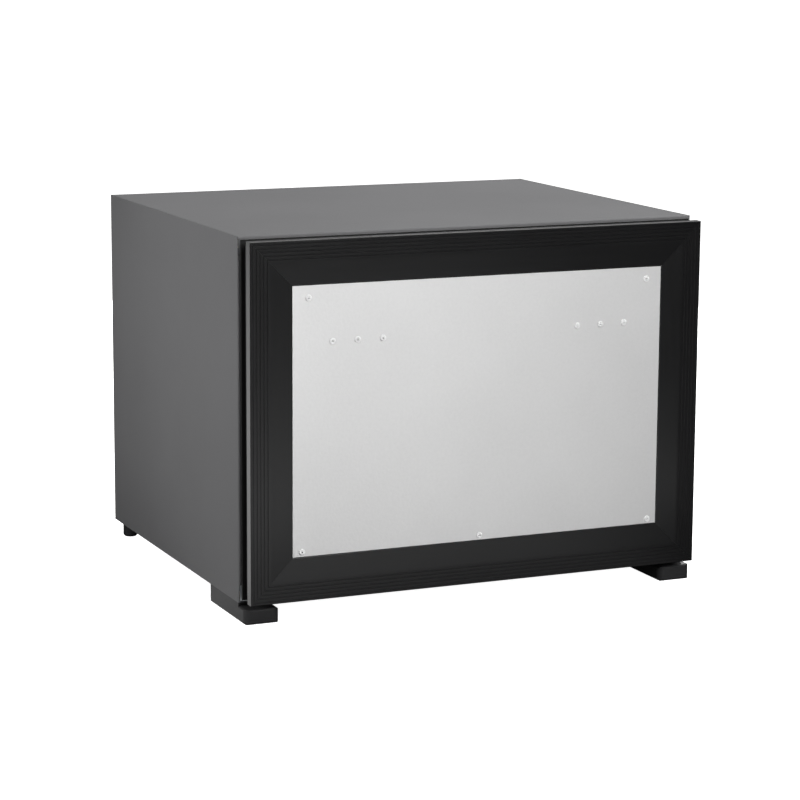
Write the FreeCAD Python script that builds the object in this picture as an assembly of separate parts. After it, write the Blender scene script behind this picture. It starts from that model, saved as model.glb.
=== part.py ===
import FreeCAD
import Part
import math
import os

# Drawer minibar fridge that takes a furniture panel on its front. It is built as the real one is: a foamed
# steel cabinet, an insulated front on telescopic runners that carries the bin, and a compressor at the back.
# Millimetres. X runs to the right, Y from the front to the back, Z up.
# The origin is the middle of the footprint, on the floor.

Vector = FreeCAD.Vector
X_AXIS = Vector(1, 0, 0)
Y_AXIS = Vector(0, 1, 0)
Z_AXIS = Vector(0, 0, 1)
SIDES = {"left": -1, "right": 1}
TINY = 1e-6

# Cabinet of folded sheet steel
CABINET_WIDTH = 560.0
CABINET_DEPTH = 450.0
CABINET_HEIGHT = 408.0
SHEET = 1.0
BEND = 2.5
FRONT_FLANGE = 20.0
REAR_FLANGE = 14.0
SEAM = 0.5
SEAM_RELIEF = 4.0

# Insulated box, with a step at the back for the machine space
INSULATION = 36.0
LINER_WALL = 1.5
LINER_CORNER = 12.0
LINER_EDGE = 6.0
CONDENSER_RECESS = 34.0
MACHINE_DEPTH = 112.0
MACHINE_HEIGHT = 172.0

# Feet
FOOT_HEIGHT = 21.0
FOOT_WIDTH = 41.0
FOOT_LENGTH = 120.0
FOOT_SETBACK = 10.0
FOOT_NOSE_DROP = 3.5
FOOT_PLAN_RADIUS = 8.0
FOOT_TOP_RADIUS = 5.5
FOOT_TOE_RADIUS = 2.5
REAR_FOOT_RADIUS = 9.0
REAR_FOOT_CHAMFER = 2.0
REAR_FOOT_SIDE_INSET = 17.0
REAR_FOOT_BACK_INSET = 11.0
REAR_FOOT_STEM = 4.0
REAR_FOOT_STEM_LENGTH = 7.0

# Frame bars of the drawer front: one hollow section, mitred at the corners
DOOR_REVEAL = 3.0
FRAME_FACE = 50.0
FRAME_DEPTH = 18.0
FRAME_WALL = 1.6
FRAME_EDGE_RADIUS = 0.8
FRAME_LIP = 11.0
FRAME_STEP = 4.5
FRAME_RETURN = 4.0
FRAME_LEDGE = 22.0
RIB_BAND = 23.5
RIB_COUNT = 5
RIB_FIRST = 3.2
RIB_PITCH = 4.2
RIB_GROOVE_WIDTH = 1.6
RIB_GROOVE_DEPTH = 0.5
SLOPE_DROP = 1.8
SLOPE_BLEND = 40.0
BEAD_RADIUS = 1.4
SLOT_INSET = 11.7
SLOT_MOUTH = 3.0
SLOT_WIDTH = 8.4
SLOT_DEPTH = 7.0
MITRE_GAP = 0.05
KEY_INSET = 20.0
KEY_ARM = 86.0
KEY_CLEARANCE = 0.2

# Front plate and the white nylon fixings in it
PLATE = 1.0
PLATE_RECESS = 2.4
PLATE_CLEARANCE = 0.2
FIXING_HEAD_RADIUS = 3.7
FIXING_HEAD_HEIGHT = 1.0
FIXING_HEAD_CROWN = 0.8
FIXING_SHANK_RADIUS = 2.5
FIXING_LENGTH = 11.0
FIXING_BORE_RADIUS = 0.8
FIXING_BORE_DEPTH = 9.0
HANDLE_INSET = 47.0
HANDLE_STEP = 30.0
HANDLE_CHOICES = 3
HANDLE_DROP = 63.0
PANEL_TOP_INSET = 19.0
PANEL_TOP_DROP = 14.0
PANEL_BOTTOM_INSET = 11.0
PANEL_BOTTOM_RISE = 5.4

# Gasket between the drawer front and the cabinet
GASKET_HEIGHT = 12.0
GASKET_CLEARANCE = 0.2
GASKET_INSET = 5.2
GASKET_WIDTH = 13.0
GASKET_WALL = 1.3
GASKET_WAIST = 2.0
GASKET_BELLOWS = 6.0
GASKET_FIN = 2.0
GASKET_FIN_INSET = 0.6
DART_STEM = 2.4
DART_WIDTH = 6.8
DART_CLEARANCE = 0.4
MAGNET_CLEARANCE = 0.1

# Inner side of the drawer front
DOOR_RIM_INSET = 19.5
PLUG_CLEARANCE = 10.0
PLUG_ENTRY = 6.0
PLUG_DRAFT = 2.0
PLUG_CORNER = 14.0

# Telescopic runners, measured from the liner wall (across) and from their middle height (up)
RUNNER_FRONT_GAP = 10.0
RUNNER_REAR_GAP = 27.5
RUNNER_RISE = 30.0
RUNNER_HEIGHT = 43.4
RUNNER_SHEET = 1.2
RUNNER_THICKNESS = 11.8
OUTER_REACH = 9.5
OUTER_LIP = 4.4
MIDDLE_REACH = 9.6
MIDDLE_FLANGE = 3.6
INNER_FLANGE = 2.4
INNER_BALL_SHIFT = 1.0
BALL_RADIUS = 2.0
BALL_CLEARANCE = 0.3
RACE_DEPTH = 0.7
CAGE_SHEET = 0.6
CAGE_CLEARANCE = 0.3
CAGE_HOLE_CLEARANCE = 0.1
CAGE_SHARE = 0.425
CAGE_START_SHARE = 0.28
CAGE_BALLS = 5
RUNNER_SCREW_RADIUS = 1.6
RUNNER_SCREW_HEAD_RADIUS = 3.2
RUNNER_SCREW_LENGTH = 14.0
RUNNER_SCREW_INSET = 40.0

# Carriage that hangs the bin between the runners
RAIL_SHEET = 1.5
RAIL_HEIGHT = 26.0
RAIL_LEDGE = 16.0
RAIL_TAB = 28.0
RAIL_OVERHANG = 24.0
BAR_LEG = 16.0
CARRIAGE_SCREW_RADIUS = 2.0
CARRIAGE_SCREW_HEAD_RADIUS = 4.0
CARRIAGE_SCREW_HEAD_HEIGHT = 2.2
CARRIAGE_SCREW_LENGTH = 14.0
CARRIAGE_SCREW_PITCH = 13.0

# Bin and its dividers
BIN_WALL = 2.2
BIN_LIP = 2.5
BIN_FRONT_GAP = 6.0
BIN_REAR_GAP = 12.0
BIN_FLOOR_GAP = 12.0
BIN_RAIL_CLEARANCE = 0.6
BIN_DRAFT = 3.0
BIN_CORNER = 10.0
DIVIDER = 2.0
DIVIDER_CLEARANCE = 0.4
LANES = 3
DIVIDER_DROP = 24.0
DIVIDER_SCOOP = 22.0
GUIDE_WIDTH = 2.0
GUIDE_DEPTH = 4.0
GUIDE_FOOT = 16.0

# Evaporator plate on the rear wall of the cold space
EVAPORATOR_SIDE_GAP = 76.5
EVAPORATOR_SHEET = 1.6
EVAPORATOR_MARGIN = 14.0
EVAPORATOR_STANDOFF = 7.0
CHANNEL_RADIUS = 3.0
CHANNEL_PASSES = 4
CHANNEL_MARGIN = 22.0
SPACER_RADIUS = 6.0
SPACER_INSET = 10.0
EVAPORATOR_SCREW_RADIUS = 1.8
EVAPORATOR_SCREW_HEAD_RADIUS = 3.6
EVAPORATOR_SCREW_HEAD_HEIGHT = 2.0
EVAPORATOR_SCREW_LENGTH = 18.0

# Control unit under the ceiling of the cold space
CONTROL_WIDTH = 104.0
CONTROL_DEPTH = 54.0
CONTROL_HEIGHT = 26.0
CONTROL_WALL = 2.0
CONTROL_CORNER = 8.0
CONTROL_SIDE_GAP = 39.5
CONTROL_FRONT_GAP = 16.0
LENS_WIDTH = 40.0
LENS_DEPTH = 26.0
LENS_CLEARANCE = 0.2
LENS_FLANGE = 2.5
LENS_SHEET = 1.5
CONTROL_OFFSET = 24.0
THERMOSTAT_WIDTH = 36.0
THERMOSTAT_HEIGHT = 16.0
KNOB_SKIRT_RADIUS = 15.0
KNOB_SKIRT = 3.0
KNOB_GRIP_WIDTH = 8.0
KNOB_GRIP_HEIGHT = 9.0
KNOB_GAP = 0.4
SHAFT_RADIUS = 3.0
SHAFT_CLEARANCE = 0.08
SHAFT_LENGTH = 13.0

# Chassis plate and compressor
CHASSIS = 2.0
CHASSIS_FLANGE_GAP = 3.0
COMPRESSOR_INSET = 175.0
COMPRESSOR_LENGTH = 138.0
COMPRESSOR_WIDTH = 96.0
COMPRESSOR_HEIGHT = 122.0
COMPRESSOR_CROWN = 30.0
COMPRESSOR_SOLE = 14.0
SEAM_BAND = 6.0
SEAM_PROUD = 2.0
SEAM_RISE = 64.0
MOUNT_PLATE = 3.0
MOUNT_MARGIN = 5.0
MOUNT_HOLE_INSET = 13.0
MOUNT_CORNER = 11.0
GROMMET_RADIUS = 9.0
GROMMET_HEIGHT = 10.0
GROMMET_WAIST = 2.5
STUD_RADIUS = 3.0
STUD_CLEARANCE = 0.3
STUD_TAIL = 3.0
NUT_FLANGE_RADIUS = 7.5
NUT_FLANGE = 1.5
NUT_ACROSS_CORNERS = 11.5
NUT_HEIGHT = 5.0
TERMINAL_LENGTH = 26.0
TERMINAL_WIDTH = 46.0
TERMINAL_HEIGHT = 58.0
TERMINAL_RISE = 24.0
TERMINAL_RADIUS = 5.0

# Condenser and pipes
CONDENSER_PASSES = 9
CONDENSER_MARGIN = 55.0
CONDENSER_BOTTOM = 18.0
CONDENSER_TOP = 26.0
CONDENSER_TUBE = 2.4
WIRE_RADIUS = 0.75
WIRE_COUNT = 22
WIRE_INSET = 12.0
WIRE_OVERHANG = 8.0
WELD_GAP = 0.05
CLIP_WIDTH = 10.0
CLIP_HEIGHT = 14.0
PIPE_INSET = 32.0
PIPE_BEND = 12.0
DISCHARGE_RISE = 88.0
DRIER_RADIUS = 9.0
DRIER_LENGTH = 72.0
DRIER_CONE = 12.0
DRIER_DROP = 30.0
CAPILLARY_RADIUS = 1.2
CAPILLARY_DROP = 34.0
CAPILLARY_RUN = 88.0
SUCTION_RADIUS = 3.2
SUCTION_OFFSET = 34.0
SUCTION_HEADROOM = 16.0

# Planes of the cabinet
DOOR_GAP = FRAME_DEPTH + GASKET_HEIGHT
OVERALL_DEPTH = CABINET_DEPTH + DOOR_GAP
FRONT_Y = -OVERALL_DEPTH / 2
CABINET_Y = FRONT_Y + DOOR_GAP
REAR_Y = OVERALL_DEPTH / 2
BACK_Y = REAR_Y - CONDENSER_RECESS
MACHINE_Y = REAR_Y - MACHINE_DEPTH
HALF_WIDTH = CABINET_WIDTH / 2
BASE_Z = FOOT_HEIGHT
TOP_Z = BASE_Z + CABINET_HEIGHT
SHELF_Z = BASE_Z + MACHINE_HEIGHT
INSIDE_X = HALF_WIDTH - SHEET - SEAM

# Planes of the cold space
WALL_BUILD = SHEET + INSULATION + LINER_WALL
COLD_X = HALF_WIDTH - WALL_BUILD
FLOOR_Z = BASE_Z + WALL_BUILD
CEILING_Z = TOP_Z - WALL_BUILD
STEP_Z = SHELF_Z + WALL_BUILD
LOW_BACK_Y = MACHINE_Y - WALL_BUILD
HIGH_BACK_Y = BACK_Y - WALL_BUILD

# Planes of the drawer front
DOOR_X = HALF_WIDTH - DOOR_REVEAL
DOOR_BOTTOM_Z = BASE_Z + DOOR_REVEAL
DOOR_TOP_Z = TOP_Z - DOOR_REVEAL
FRAME_REAR_Y = FRONT_Y + FRAME_DEPTH
PLATE_Y = FRONT_Y + PLATE_RECESS
SEAT_DEPTH = PLATE_RECESS + PLATE
FRAME_INNER = FRAME_FACE - FRAME_RETURN
PLATE_TOP_Z = DOOR_TOP_Z - FRAME_FACE
PLATE_BOTTOM_Z = DOOR_BOTTOM_Z + FRAME_FACE
PLUG_Y = CABINET_Y + PLUG_ENTRY
MITRE_REACH = FRAME_FACE + FRAME_LEDGE
PLATE_X = DOOR_X - FRAME_FACE

# Runner tracks: each ball centre is (across, up)
RUNNER_Z = STEP_Z + RUNNER_RISE
RUNNER_Y = CABINET_Y + RUNNER_FRONT_GAP
RUNNER_LENGTH = HIGH_BACK_Y - RUNNER_REAR_GAP - RUNNER_Y
CAGE_LENGTH = RUNNER_LENGTH * CAGE_SHARE
CAGE_START = RUNNER_LENGTH * CAGE_START_SHARE
RACE = BALL_RADIUS + BALL_CLEARANCE
OUTER_BALL = (OUTER_REACH - RUNNER_SHEET - RACE, RUNNER_HEIGHT / 2 - RUNNER_SHEET - RACE)
MIDDLE_TOP = OUTER_BALL[1] - RACE + RACE_DEPTH
MIDDLE_WEB = RUNNER_SHEET + CAGE_SHEET + 2 * CAGE_CLEARANCE
INNER_BALL = (OUTER_BALL[0] + INNER_BALL_SHIFT, MIDDLE_TOP - MIDDLE_FLANGE - RACE + RACE_DEPTH)
INNER_TOP = INNER_BALL[1] - RACE + RACE_DEPTH
INNER_START = MIDDLE_WEB + RUNNER_SHEET + CAGE_SHEET + 2 * CAGE_CLEARANCE

# Carriage and bin
RAIL_X = COLD_X - RUNNER_THICKNESS
RAIL_INNER_X = RAIL_X - RAIL_SHEET
RAIL_BOTTOM_Z = RUNNER_Z - RAIL_HEIGHT / 2
RAIL_TOP_Z = RUNNER_Z + RAIL_HEIGHT / 2
LEDGE_Z = RAIL_BOTTOM_Z + RAIL_SHEET
BIN_FRONT_Y = PLUG_Y + BIN_FRONT_GAP
BIN_REAR_Y = LOW_BACK_Y - BIN_REAR_GAP
BIN_BOTTOM_Z = FLOOR_Z + BIN_FLOOR_GAP
BIN_TOP_Z = LEDGE_Z + BIN_LIP
BIN_X = RAIL_INNER_X - RAIL_LEDGE - BIN_RAIL_CLEARANCE
RAIL_END_Y = BIN_REAR_Y + RAIL_OVERHANG
LANE = 2 * BIN_X / LANES

# Machine space
COMPRESSOR_X = HALF_WIDTH - COMPRESSOR_INSET
COMPRESSOR_Y = (MACHINE_Y + REAR_Y) / 2
CHASSIS_TOP_Z = BASE_Z + CHASSIS
MOUNT_Z = CHASSIS_TOP_Z + GROMMET_HEIGHT
SHELL_Z = MOUNT_Z + MOUNT_PLATE
MOUNT_HALF_LENGTH = COMPRESSOR_LENGTH / 2 + MOUNT_MARGIN
MOUNT_HALF_WIDTH = COMPRESSOR_WIDTH / 2 + MOUNT_MARGIN
CONDENSER_Y = BACK_Y + CONDENSER_RECESS / 2
CONDENSER_X = HALF_WIDTH - CONDENSER_MARGIN
CONDENSER_TOP_Z = TOP_Z - CONDENSER_TOP
CONDENSER_BOTTOM_Z = SHELF_Z + CONDENSER_BOTTOM
CONDENSER_PITCH = (CONDENSER_TOP_Z - CONDENSER_BOTTOM_Z) / (CONDENSER_PASSES - 1)
WIRE_PITCH = 2 * (CONDENSER_X - WIRE_INSET) / (WIRE_COUNT - 1)
PIPE_X = HALF_WIDTH - PIPE_INSET
DRIER_TOP_Z = CONDENSER_BOTTOM_Z - DRIER_DROP

# Evaporator and control unit
EVAPORATOR_X = COLD_X - EVAPORATOR_SIDE_GAP
CONTROL_X = COLD_X - CONTROL_SIDE_GAP - CONTROL_WIDTH / 2
CONTROL_Y = CABINET_Y + CONTROL_FRONT_GAP + CONTROL_DEPTH / 2
CONTROL_BOTTOM_Z = CEILING_Z - CONTROL_HEIGHT
KNOB_CENTRE = Vector(CONTROL_X + CONTROL_OFFSET, CONTROL_Y, CONTROL_BOTTOM_Z - KNOB_GAP)


# Plane figures and basic solids


def on_xy(z):
    """Map of a plane point (x, y) at height z."""
    return lambda a, b: Vector(a, b, z)


def on_xz(y):
    """Map of a plane point (x, z) at depth y."""
    return lambda a, b: Vector(a, y, b)


def on_yz(x):
    """Map of a plane point (y, z) at place x."""
    return lambda a, b: Vector(x, a, b)


def box(x_range, y_range, z_range):
    """Box between two limits on each axis."""
    size = [limits[1] - limits[0] for limits in (x_range, y_range, z_range)]
    return Part.makeBox(*size, Vector(x_range[0], y_range[0], z_range[0]))


def rectangle(a_range, b_range, radius=0.0):
    """Corners of a rectangle in a plane, all with one corner radius."""
    corners = [(0, 0), (1, 0), (1, 1), (0, 1)]
    return [(a_range[i], b_range[j], radius) for i, j in corners]


def centred(centre, length, width, radius):
    """Corners of a rectangle about the x and y of a centre, all with one corner radius."""
    span_x = (centre.x - length / 2, centre.x + length / 2)
    return rectangle(span_x, (centre.y - width / 2, centre.y + width / 2), radius)


def rounded_edges(corners, closed=True):
    """Straight edges joined by tangent arcs through corners of (point, radius)."""
    count = len(corners)
    arcs = []
    for index, (point, radius) in enumerate(corners):
        loose_end = not closed and index in (0, count - 1)
        if radius <= 0 or loose_end:
            arcs.append((point, None, point))
            continue
        before = (corners[index - 1][0] - point).normalize()
        after = (corners[(index + 1) % count][0] - point).normalize()
        half_angle = before.getAngle(after) / 2
        reach = radius / math.tan(half_angle)
        crown = radius / math.sin(half_angle) - radius
        middle = point + (before + after).normalize() * crown
        arcs.append((point + before * reach, middle, point + after * reach))
    edges = []
    for index, (start, middle, end) in enumerate(arcs):
        if middle is not None:
            edges.append(Part.Arc(start, middle, end).toShape())
        last = index == count - 1
        if last and not closed:
            break
        following = arcs[(index + 1) % count][0]
        if end.distanceToPoint(following) > TINY:
            edges.append(Part.makeLine(end, following))
    return edges


def outline(points, place):
    """Closed wire through plane points (a, b) or (a, b, corner radius)."""
    corners = [(place(*point[:2]), point[2] if len(point) > 2 else 0.0) for point in points]
    return Part.Wire(rounded_edges(corners))


def figure(points, place, holes=()):
    """Flat face with an outline and any holes."""
    wires = [outline(shape, place) for shape in (points, *holes)]
    return Part.makeFace(wires, "Part::FaceMakerBullseye")


def prism(points, place, travel, holes=()):
    """Solid pulled from a plane figure along a vector."""
    return figure(points, place, holes).extrude(travel)


def turned(points, base, axis, radial):
    """Solid of revolution; points are (radius, height along the axis) with any corner radius."""
    face = figure(points, lambda radius, height: base + radial * radius + axis * height)
    return face.revolve(base, axis, 360)


def loft(lower, upper):
    """Solid with flat sides between two wires."""
    return Part.makeLoft([lower, upper], True, True)


def tube(points, radius, bend):
    """Round rod along straight runs joined by arcs of one bend radius."""
    path = Part.Wire(rounded_edges([(point, bend) for point in points], closed=False))
    section = Part.Wire(Part.makeCircle(radius, points[0], points[1] - points[0]))
    return path.makePipeShell([section], True, False)


def folded(path, thickness, bend):
    """Closed outline of a folded sheet that lies on the left of a path of plane points."""
    points = [Vector(a, b, 0) for a, b in path]
    ways = [(after - before).normalize() for before, after in zip(points, points[1:])]
    normals = [Vector(-way.y, way.x, 0) for way in ways]
    near = []
    far = []
    for index, point in enumerate(points):
        first = normals[max(index - 1, 0)]
        second = normals[min(index, len(normals) - 1)]
        offset = (first + second) * (thickness / (1 + first.dot(second)))
        moved = point + offset
        radii = (0.0, 0.0)
        if 0 < index < len(points) - 1:
            turns_left = ways[index - 1].cross(ways[index]).z > 0
            radii = (bend, bend - thickness) if turns_left else (bend - thickness, bend)
        near.append((point.x, point.y, radii[0]))
        far.append((moved.x, moved.y, radii[1]))
    return near + far[::-1]


def mirrored(shape, side):
    """The left-hand shape for the left side, or its mirror image for the right."""
    return shape if side < 0 else shape.mirror(Vector(0, 0, 0), X_AXIS)


def fused(shapes):
    """One solid from shapes that touch or overlap."""
    return shapes[0].multiFuse(shapes[1:]).removeSplitter()


# Cabinet


def side_panel(side):
    """Side sheet with its front sealing flange and rear flange."""
    path = [
        (-HALF_WIDTH + REAR_FLANGE, REAR_Y),
        (-HALF_WIDTH, REAR_Y),
        (-HALF_WIDTH, CABINET_Y),
        (-HALF_WIDTH + FRONT_FLANGE, CABINET_Y),
    ]
    panel = prism(folded(path, SHEET, BEND), on_xy(BASE_Z), Z_AXIS * CABINET_HEIGHT)
    inside = (-HALF_WIDTH + SHEET, 0)
    front = (CABINET_Y - SHEET, CABINET_Y + BEND)
    rear = (REAR_Y - BEND, REAR_Y + SHEET)
    notches = [
        box(inside, front, (TOP_Z - FRONT_FLANGE - SEAM, TOP_Z + SHEET)),
        box(inside, front, (BASE_Z - SHEET, BASE_Z + FRONT_FLANGE + SEAM)),
        box(inside, rear, (TOP_Z - REAR_FLANGE - SEAM, TOP_Z + SHEET)),
    ]
    return mirrored(panel.cut(notches), side)


def cabinet_sheet(path, thickness=SHEET):
    """Folded sheet that runs between the two side panels."""
    return prism(folded(path, thickness, thickness + BEND - SHEET), on_yz(-INSIDE_X), X_AXIS * (2 * INSIDE_X))


def top_panel():
    """Top sheet, turned down at the front and rear."""
    return cabinet_sheet([
        (REAR_Y, TOP_Z - REAR_FLANGE),
        (REAR_Y, TOP_Z),
        (CABINET_Y, TOP_Z),
        (CABINET_Y, TOP_Z - FRONT_FLANGE),
    ])


def base_panel():
    """Bottom sheet, turned up at the front, that ends at the machine space."""
    return cabinet_sheet([
        (CABINET_Y, BASE_Z + FRONT_FLANGE),
        (CABINET_Y, BASE_Z),
        (MACHINE_Y - SHEET - SEAM, BASE_Z),
    ])


def rear_panel():
    """Rear sheet, stepped forward over the machine space."""
    return cabinet_sheet([
        (MACHINE_Y, BASE_Z),
        (MACHINE_Y, SHELF_Z),
        (BACK_Y, SHELF_Z),
        (BACK_Y, TOP_Z - SHEET - SEAM),
    ])


def cold_block(grow, front_y):
    """The cold space as a solid, grown on every wall; its sides have rounded edges."""
    corner = LINER_CORNER + grow
    points = [
        (front_y, FLOOR_Z - grow),
        (LOW_BACK_Y + grow, FLOOR_Z - grow, corner),
        (LOW_BACK_Y + grow, STEP_Z - grow, LINER_CORNER - grow),
        (HIGH_BACK_Y + grow, STEP_Z - grow, corner),
        (HIGH_BACK_Y + grow, CEILING_Z + grow, corner),
        (front_y, CEILING_Z + grow),
    ]
    half = COLD_X + grow
    block = prism(points, on_yz(-half), X_AXIS * (2 * half))

    def on_side(edge):
        """Whether an edge lies in a side face and not in the mouth."""
        limits = edge.BoundBox
        flat = limits.XLength < TINY and abs(abs(limits.XMin) - half) < TINY
        return flat and limits.YMax > front_y + TINY

    return block.makeFillet(LINER_EDGE + grow, [edge for edge in block.Edges if on_side(edge)])


def liner_flange():
    """Flat rim of the liner, level with the steel sealing face."""
    reach = FRONT_FLANGE + SEAM
    half = HALF_WIDTH - reach
    return box((-half, half), (CABINET_Y, CABINET_Y + LINER_WALL), (BASE_Z + reach, TOP_Z - reach))


def cabinet_liner():
    """Vacuum-formed inner box with its rim."""
    shell = fused([cold_block(LINER_WALL, CABINET_Y), liner_flange()])
    hollow = cold_block(0.0, CABINET_Y - SHEET)
    return shell.cut([hollow, *evaporator_screws(), *runner_screws()])


def cabinet_foam():
    """Insulation between the sheets and the liner, held back from the open seams."""
    low_z = BASE_Z + SHEET
    shelf = SHELF_Z + SHEET
    profile = [
        (CABINET_Y + SHEET, low_z, BEND),
        (MACHINE_Y - SHEET, low_z, BEND),
        (MACHINE_Y - SHEET, shelf),
        (BACK_Y - SHEET, shelf, BEND),
        (BACK_Y - SHEET, TOP_Z - SHEET, BEND),
        (CABINET_Y + SHEET, TOP_Z - SHEET, BEND),
    ]
    half = HALF_WIDTH - SHEET
    block = prism(profile, on_yz(-half), X_AXIS * (2 * half))
    plan = rectangle((-half, half), (CABINET_Y + SHEET, REAR_Y), BEND)
    block = block.common(prism(plan, on_xy(BASE_Z), Z_AXIS * CABINET_HEIGHT))
    hollow = cold_block(LINER_WALL, CABINET_Y)
    edge_x = (-half, -half + SEAM_RELIEF)
    relief = [
        box(edge_x, (CABINET_Y, REAR_Y), (TOP_Z - SHEET - SEAM_RELIEF, TOP_Z)),
        box(edge_x, (CABINET_Y, CABINET_Y + SHEET + SEAM_RELIEF), (BASE_Z, TOP_Z)),
    ]
    reliefs = [mirrored(edge, side) for edge in relief for side in SIDES.values()]
    return block.cut([hollow, liner_flange(), *reliefs, *evaporator_screws(), *runner_screws()])


def front_foot(side):
    """Flat skid, level with the side panel, whose nose reaches forward under the drawer front."""
    span_x = (-HALF_WIDTH, -HALF_WIDTH + FOOT_WIDTH)
    front = FRONT_Y + FOOT_SETBACK
    rear = front + FOOT_LENGTH
    nose = FOOT_HEIGHT - FOOT_NOSE_DROP
    section = rectangle(span_x, (0, nose), FOOT_TOE_RADIUS)
    section[2] = (span_x[1], nose, FOOT_TOP_RADIUS)
    skid = prism(section, on_xz(front), Y_AXIS * FOOT_LENGTH)
    side_view = rectangle((front, rear), (0, nose), FOOT_TOE_RADIUS)
    skid = skid.common(prism(side_view, on_yz(span_x[0]), X_AXIS * FOOT_WIDTH))
    pad_x = (span_x[0], span_x[1] - FOOT_TOP_RADIUS)
    pad_y = (CABINET_Y + BEND, rear)
    pad = box(pad_x, pad_y, (nose - FOOT_TOP_RADIUS, FOOT_HEIGHT))
    plan = rectangle(span_x, (front, rear), FOOT_PLAN_RADIUS)
    foot = fused([skid, pad]).common(prism(plan, on_xy(0), Z_AXIS * FOOT_HEIGHT))
    return mirrored(foot, side)


def rear_foot_places():
    """Floor points under the two rear feet."""
    x = HALF_WIDTH - REAR_FOOT_SIDE_INSET
    return [Vector(side * x, REAR_Y - REAR_FOOT_BACK_INSET, 0) for side in SIDES.values()]


def rear_feet():
    """Round feet with a stem that presses into the chassis plate."""
    profile = [
        (0, 0),
        (REAR_FOOT_RADIUS - REAR_FOOT_CHAMFER, 0),
        (REAR_FOOT_RADIUS, REAR_FOOT_CHAMFER),
        (REAR_FOOT_RADIUS, FOOT_HEIGHT),
        (REAR_FOOT_STEM, FOOT_HEIGHT),
        (REAR_FOOT_STEM, FOOT_HEIGHT + REAR_FOOT_STEM_LENGTH),
        (0, FOOT_HEIGHT + REAR_FOOT_STEM_LENGTH),
    ]
    return [turned(profile, place, Z_AXIS, X_AXIS) for place in rear_foot_places()]


# Drawer front


def side_place(side):
    """Map of one side of the drawer front: distance in from its edge, depth, and place along it."""
    if side in ("top", "bottom"):
        edge, way = (DOOR_TOP_Z, -1) if side == "top" else (DOOR_BOTTOM_Z, 1)
        return lambda inward, depth, along: Vector(along, FRONT_Y + depth, edge + way * inward)
    edge, way = (-DOOR_X, 1) if side == "left" else (DOOR_X, -1)
    return lambda inward, depth, along: Vector(edge + way * inward, FRONT_Y + depth, along)


def side_span(side):
    """First and last place along one side of the drawer front."""
    return (-DOOR_X, DOOR_X) if side in ("top", "bottom") else (DOOR_BOTTOM_Z, DOOR_TOP_Z)


def mitred_bar(side, points, holes=(), gap=0.0):
    """Section of (inward, depth) run along one side and cut at 45 degrees at both ends."""
    place = side_place(side)
    low, high = side_span(side)
    travel = place(0, 0, high) - place(0, 0, low)
    bar = prism(points, lambda inward, depth: place(inward, depth, low), travel, holes)
    wedge = [
        (0, low + gap),
        (0, high - gap),
        (MITRE_REACH, high - gap - MITRE_REACH),
        (MITRE_REACH, low + gap + MITRE_REACH),
    ]
    return bar.common(prism(wedge, lambda inward, along: place(inward, 0, along), Y_AXIS * DOOR_GAP))


def frame_section():
    """Outline of a frame bar as (inward, depth): ribbed band, slope, plate seat, gasket slot and side lip."""
    ribs = []
    for index in range(RIB_COUNT):
        middle = RIB_FIRST + index * RIB_PITCH
        ribs += [
            (middle - RIB_GROOVE_WIDTH / 2, 0),
            (middle - RIB_GROOVE_WIDTH / 4, RIB_GROOVE_DEPTH),
            (middle + RIB_GROOVE_WIDTH / 4, RIB_GROOVE_DEPTH),
            (middle + RIB_GROOVE_WIDTH / 2, 0),
        ]
    ledge_end = FRAME_FACE + FRAME_LEDGE
    ledge_back = SEAT_DEPTH + FRAME_WALL
    slot_roof = FRAME_DEPTH - FRAME_WALL
    slot_floor = FRAME_DEPTH - SLOT_DEPTH
    slot = [
        (SLOT_INSET + SLOT_MOUTH / 2, FRAME_DEPTH),
        (SLOT_INSET + SLOT_MOUTH / 2, slot_roof),
        (SLOT_INSET + SLOT_WIDTH / 2, slot_roof),
        (SLOT_INSET + SLOT_WIDTH / 2, slot_floor),
        (SLOT_INSET - SLOT_WIDTH / 2, slot_floor),
        (SLOT_INSET - SLOT_WIDTH / 2, slot_roof),
        (SLOT_INSET - SLOT_MOUTH / 2, slot_roof),
        (SLOT_INSET - SLOT_MOUTH / 2, FRAME_DEPTH),
    ]
    return [
        (0, 0, FRAME_EDGE_RADIUS),
        *ribs,
        (RIB_BAND, 0, SLOPE_BLEND),
        (FRAME_FACE, SLOPE_DROP, BEAD_RADIUS),
        (FRAME_FACE, SEAT_DEPTH),
        (ledge_end, SEAT_DEPTH),
        (ledge_end, ledge_back),
        (FRAME_INNER, ledge_back),
        (FRAME_INNER, FRAME_DEPTH),
        *slot,
        (FRAME_STEP, FRAME_DEPTH),
        (FRAME_STEP, FRAME_LIP),
        (0, FRAME_LIP),
    ]


def frame_chamber():
    """Outline of the hollow inside a frame bar."""
    front = RIB_GROOVE_DEPTH + FRAME_WALL
    behind_slot = FRAME_DEPTH - SLOT_DEPTH - FRAME_WALL
    floor = min(behind_slot, FRAME_LIP - FRAME_WALL)
    beside_slot = SLOT_INSET + SLOT_WIDTH / 2 + FRAME_WALL
    inner = FRAME_INNER - FRAME_WALL
    return [
        (FRAME_WALL, front),
        (RIB_BAND, front),
        (inner, SLOPE_DROP + FRAME_WALL),
        (inner, FRAME_DEPTH - FRAME_WALL),
        (beside_slot, FRAME_DEPTH - FRAME_WALL),
        (beside_slot, floor),
        (FRAME_WALL, floor),
    ]


def frame_bar(side):
    """One mitred bar of the front frame, drilled for the panel fixings."""
    bar = mitred_bar(side, frame_section(), [frame_chamber()], MITRE_GAP)
    return bar.cut(fixing_shanks(panel_fixing_places()))


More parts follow.
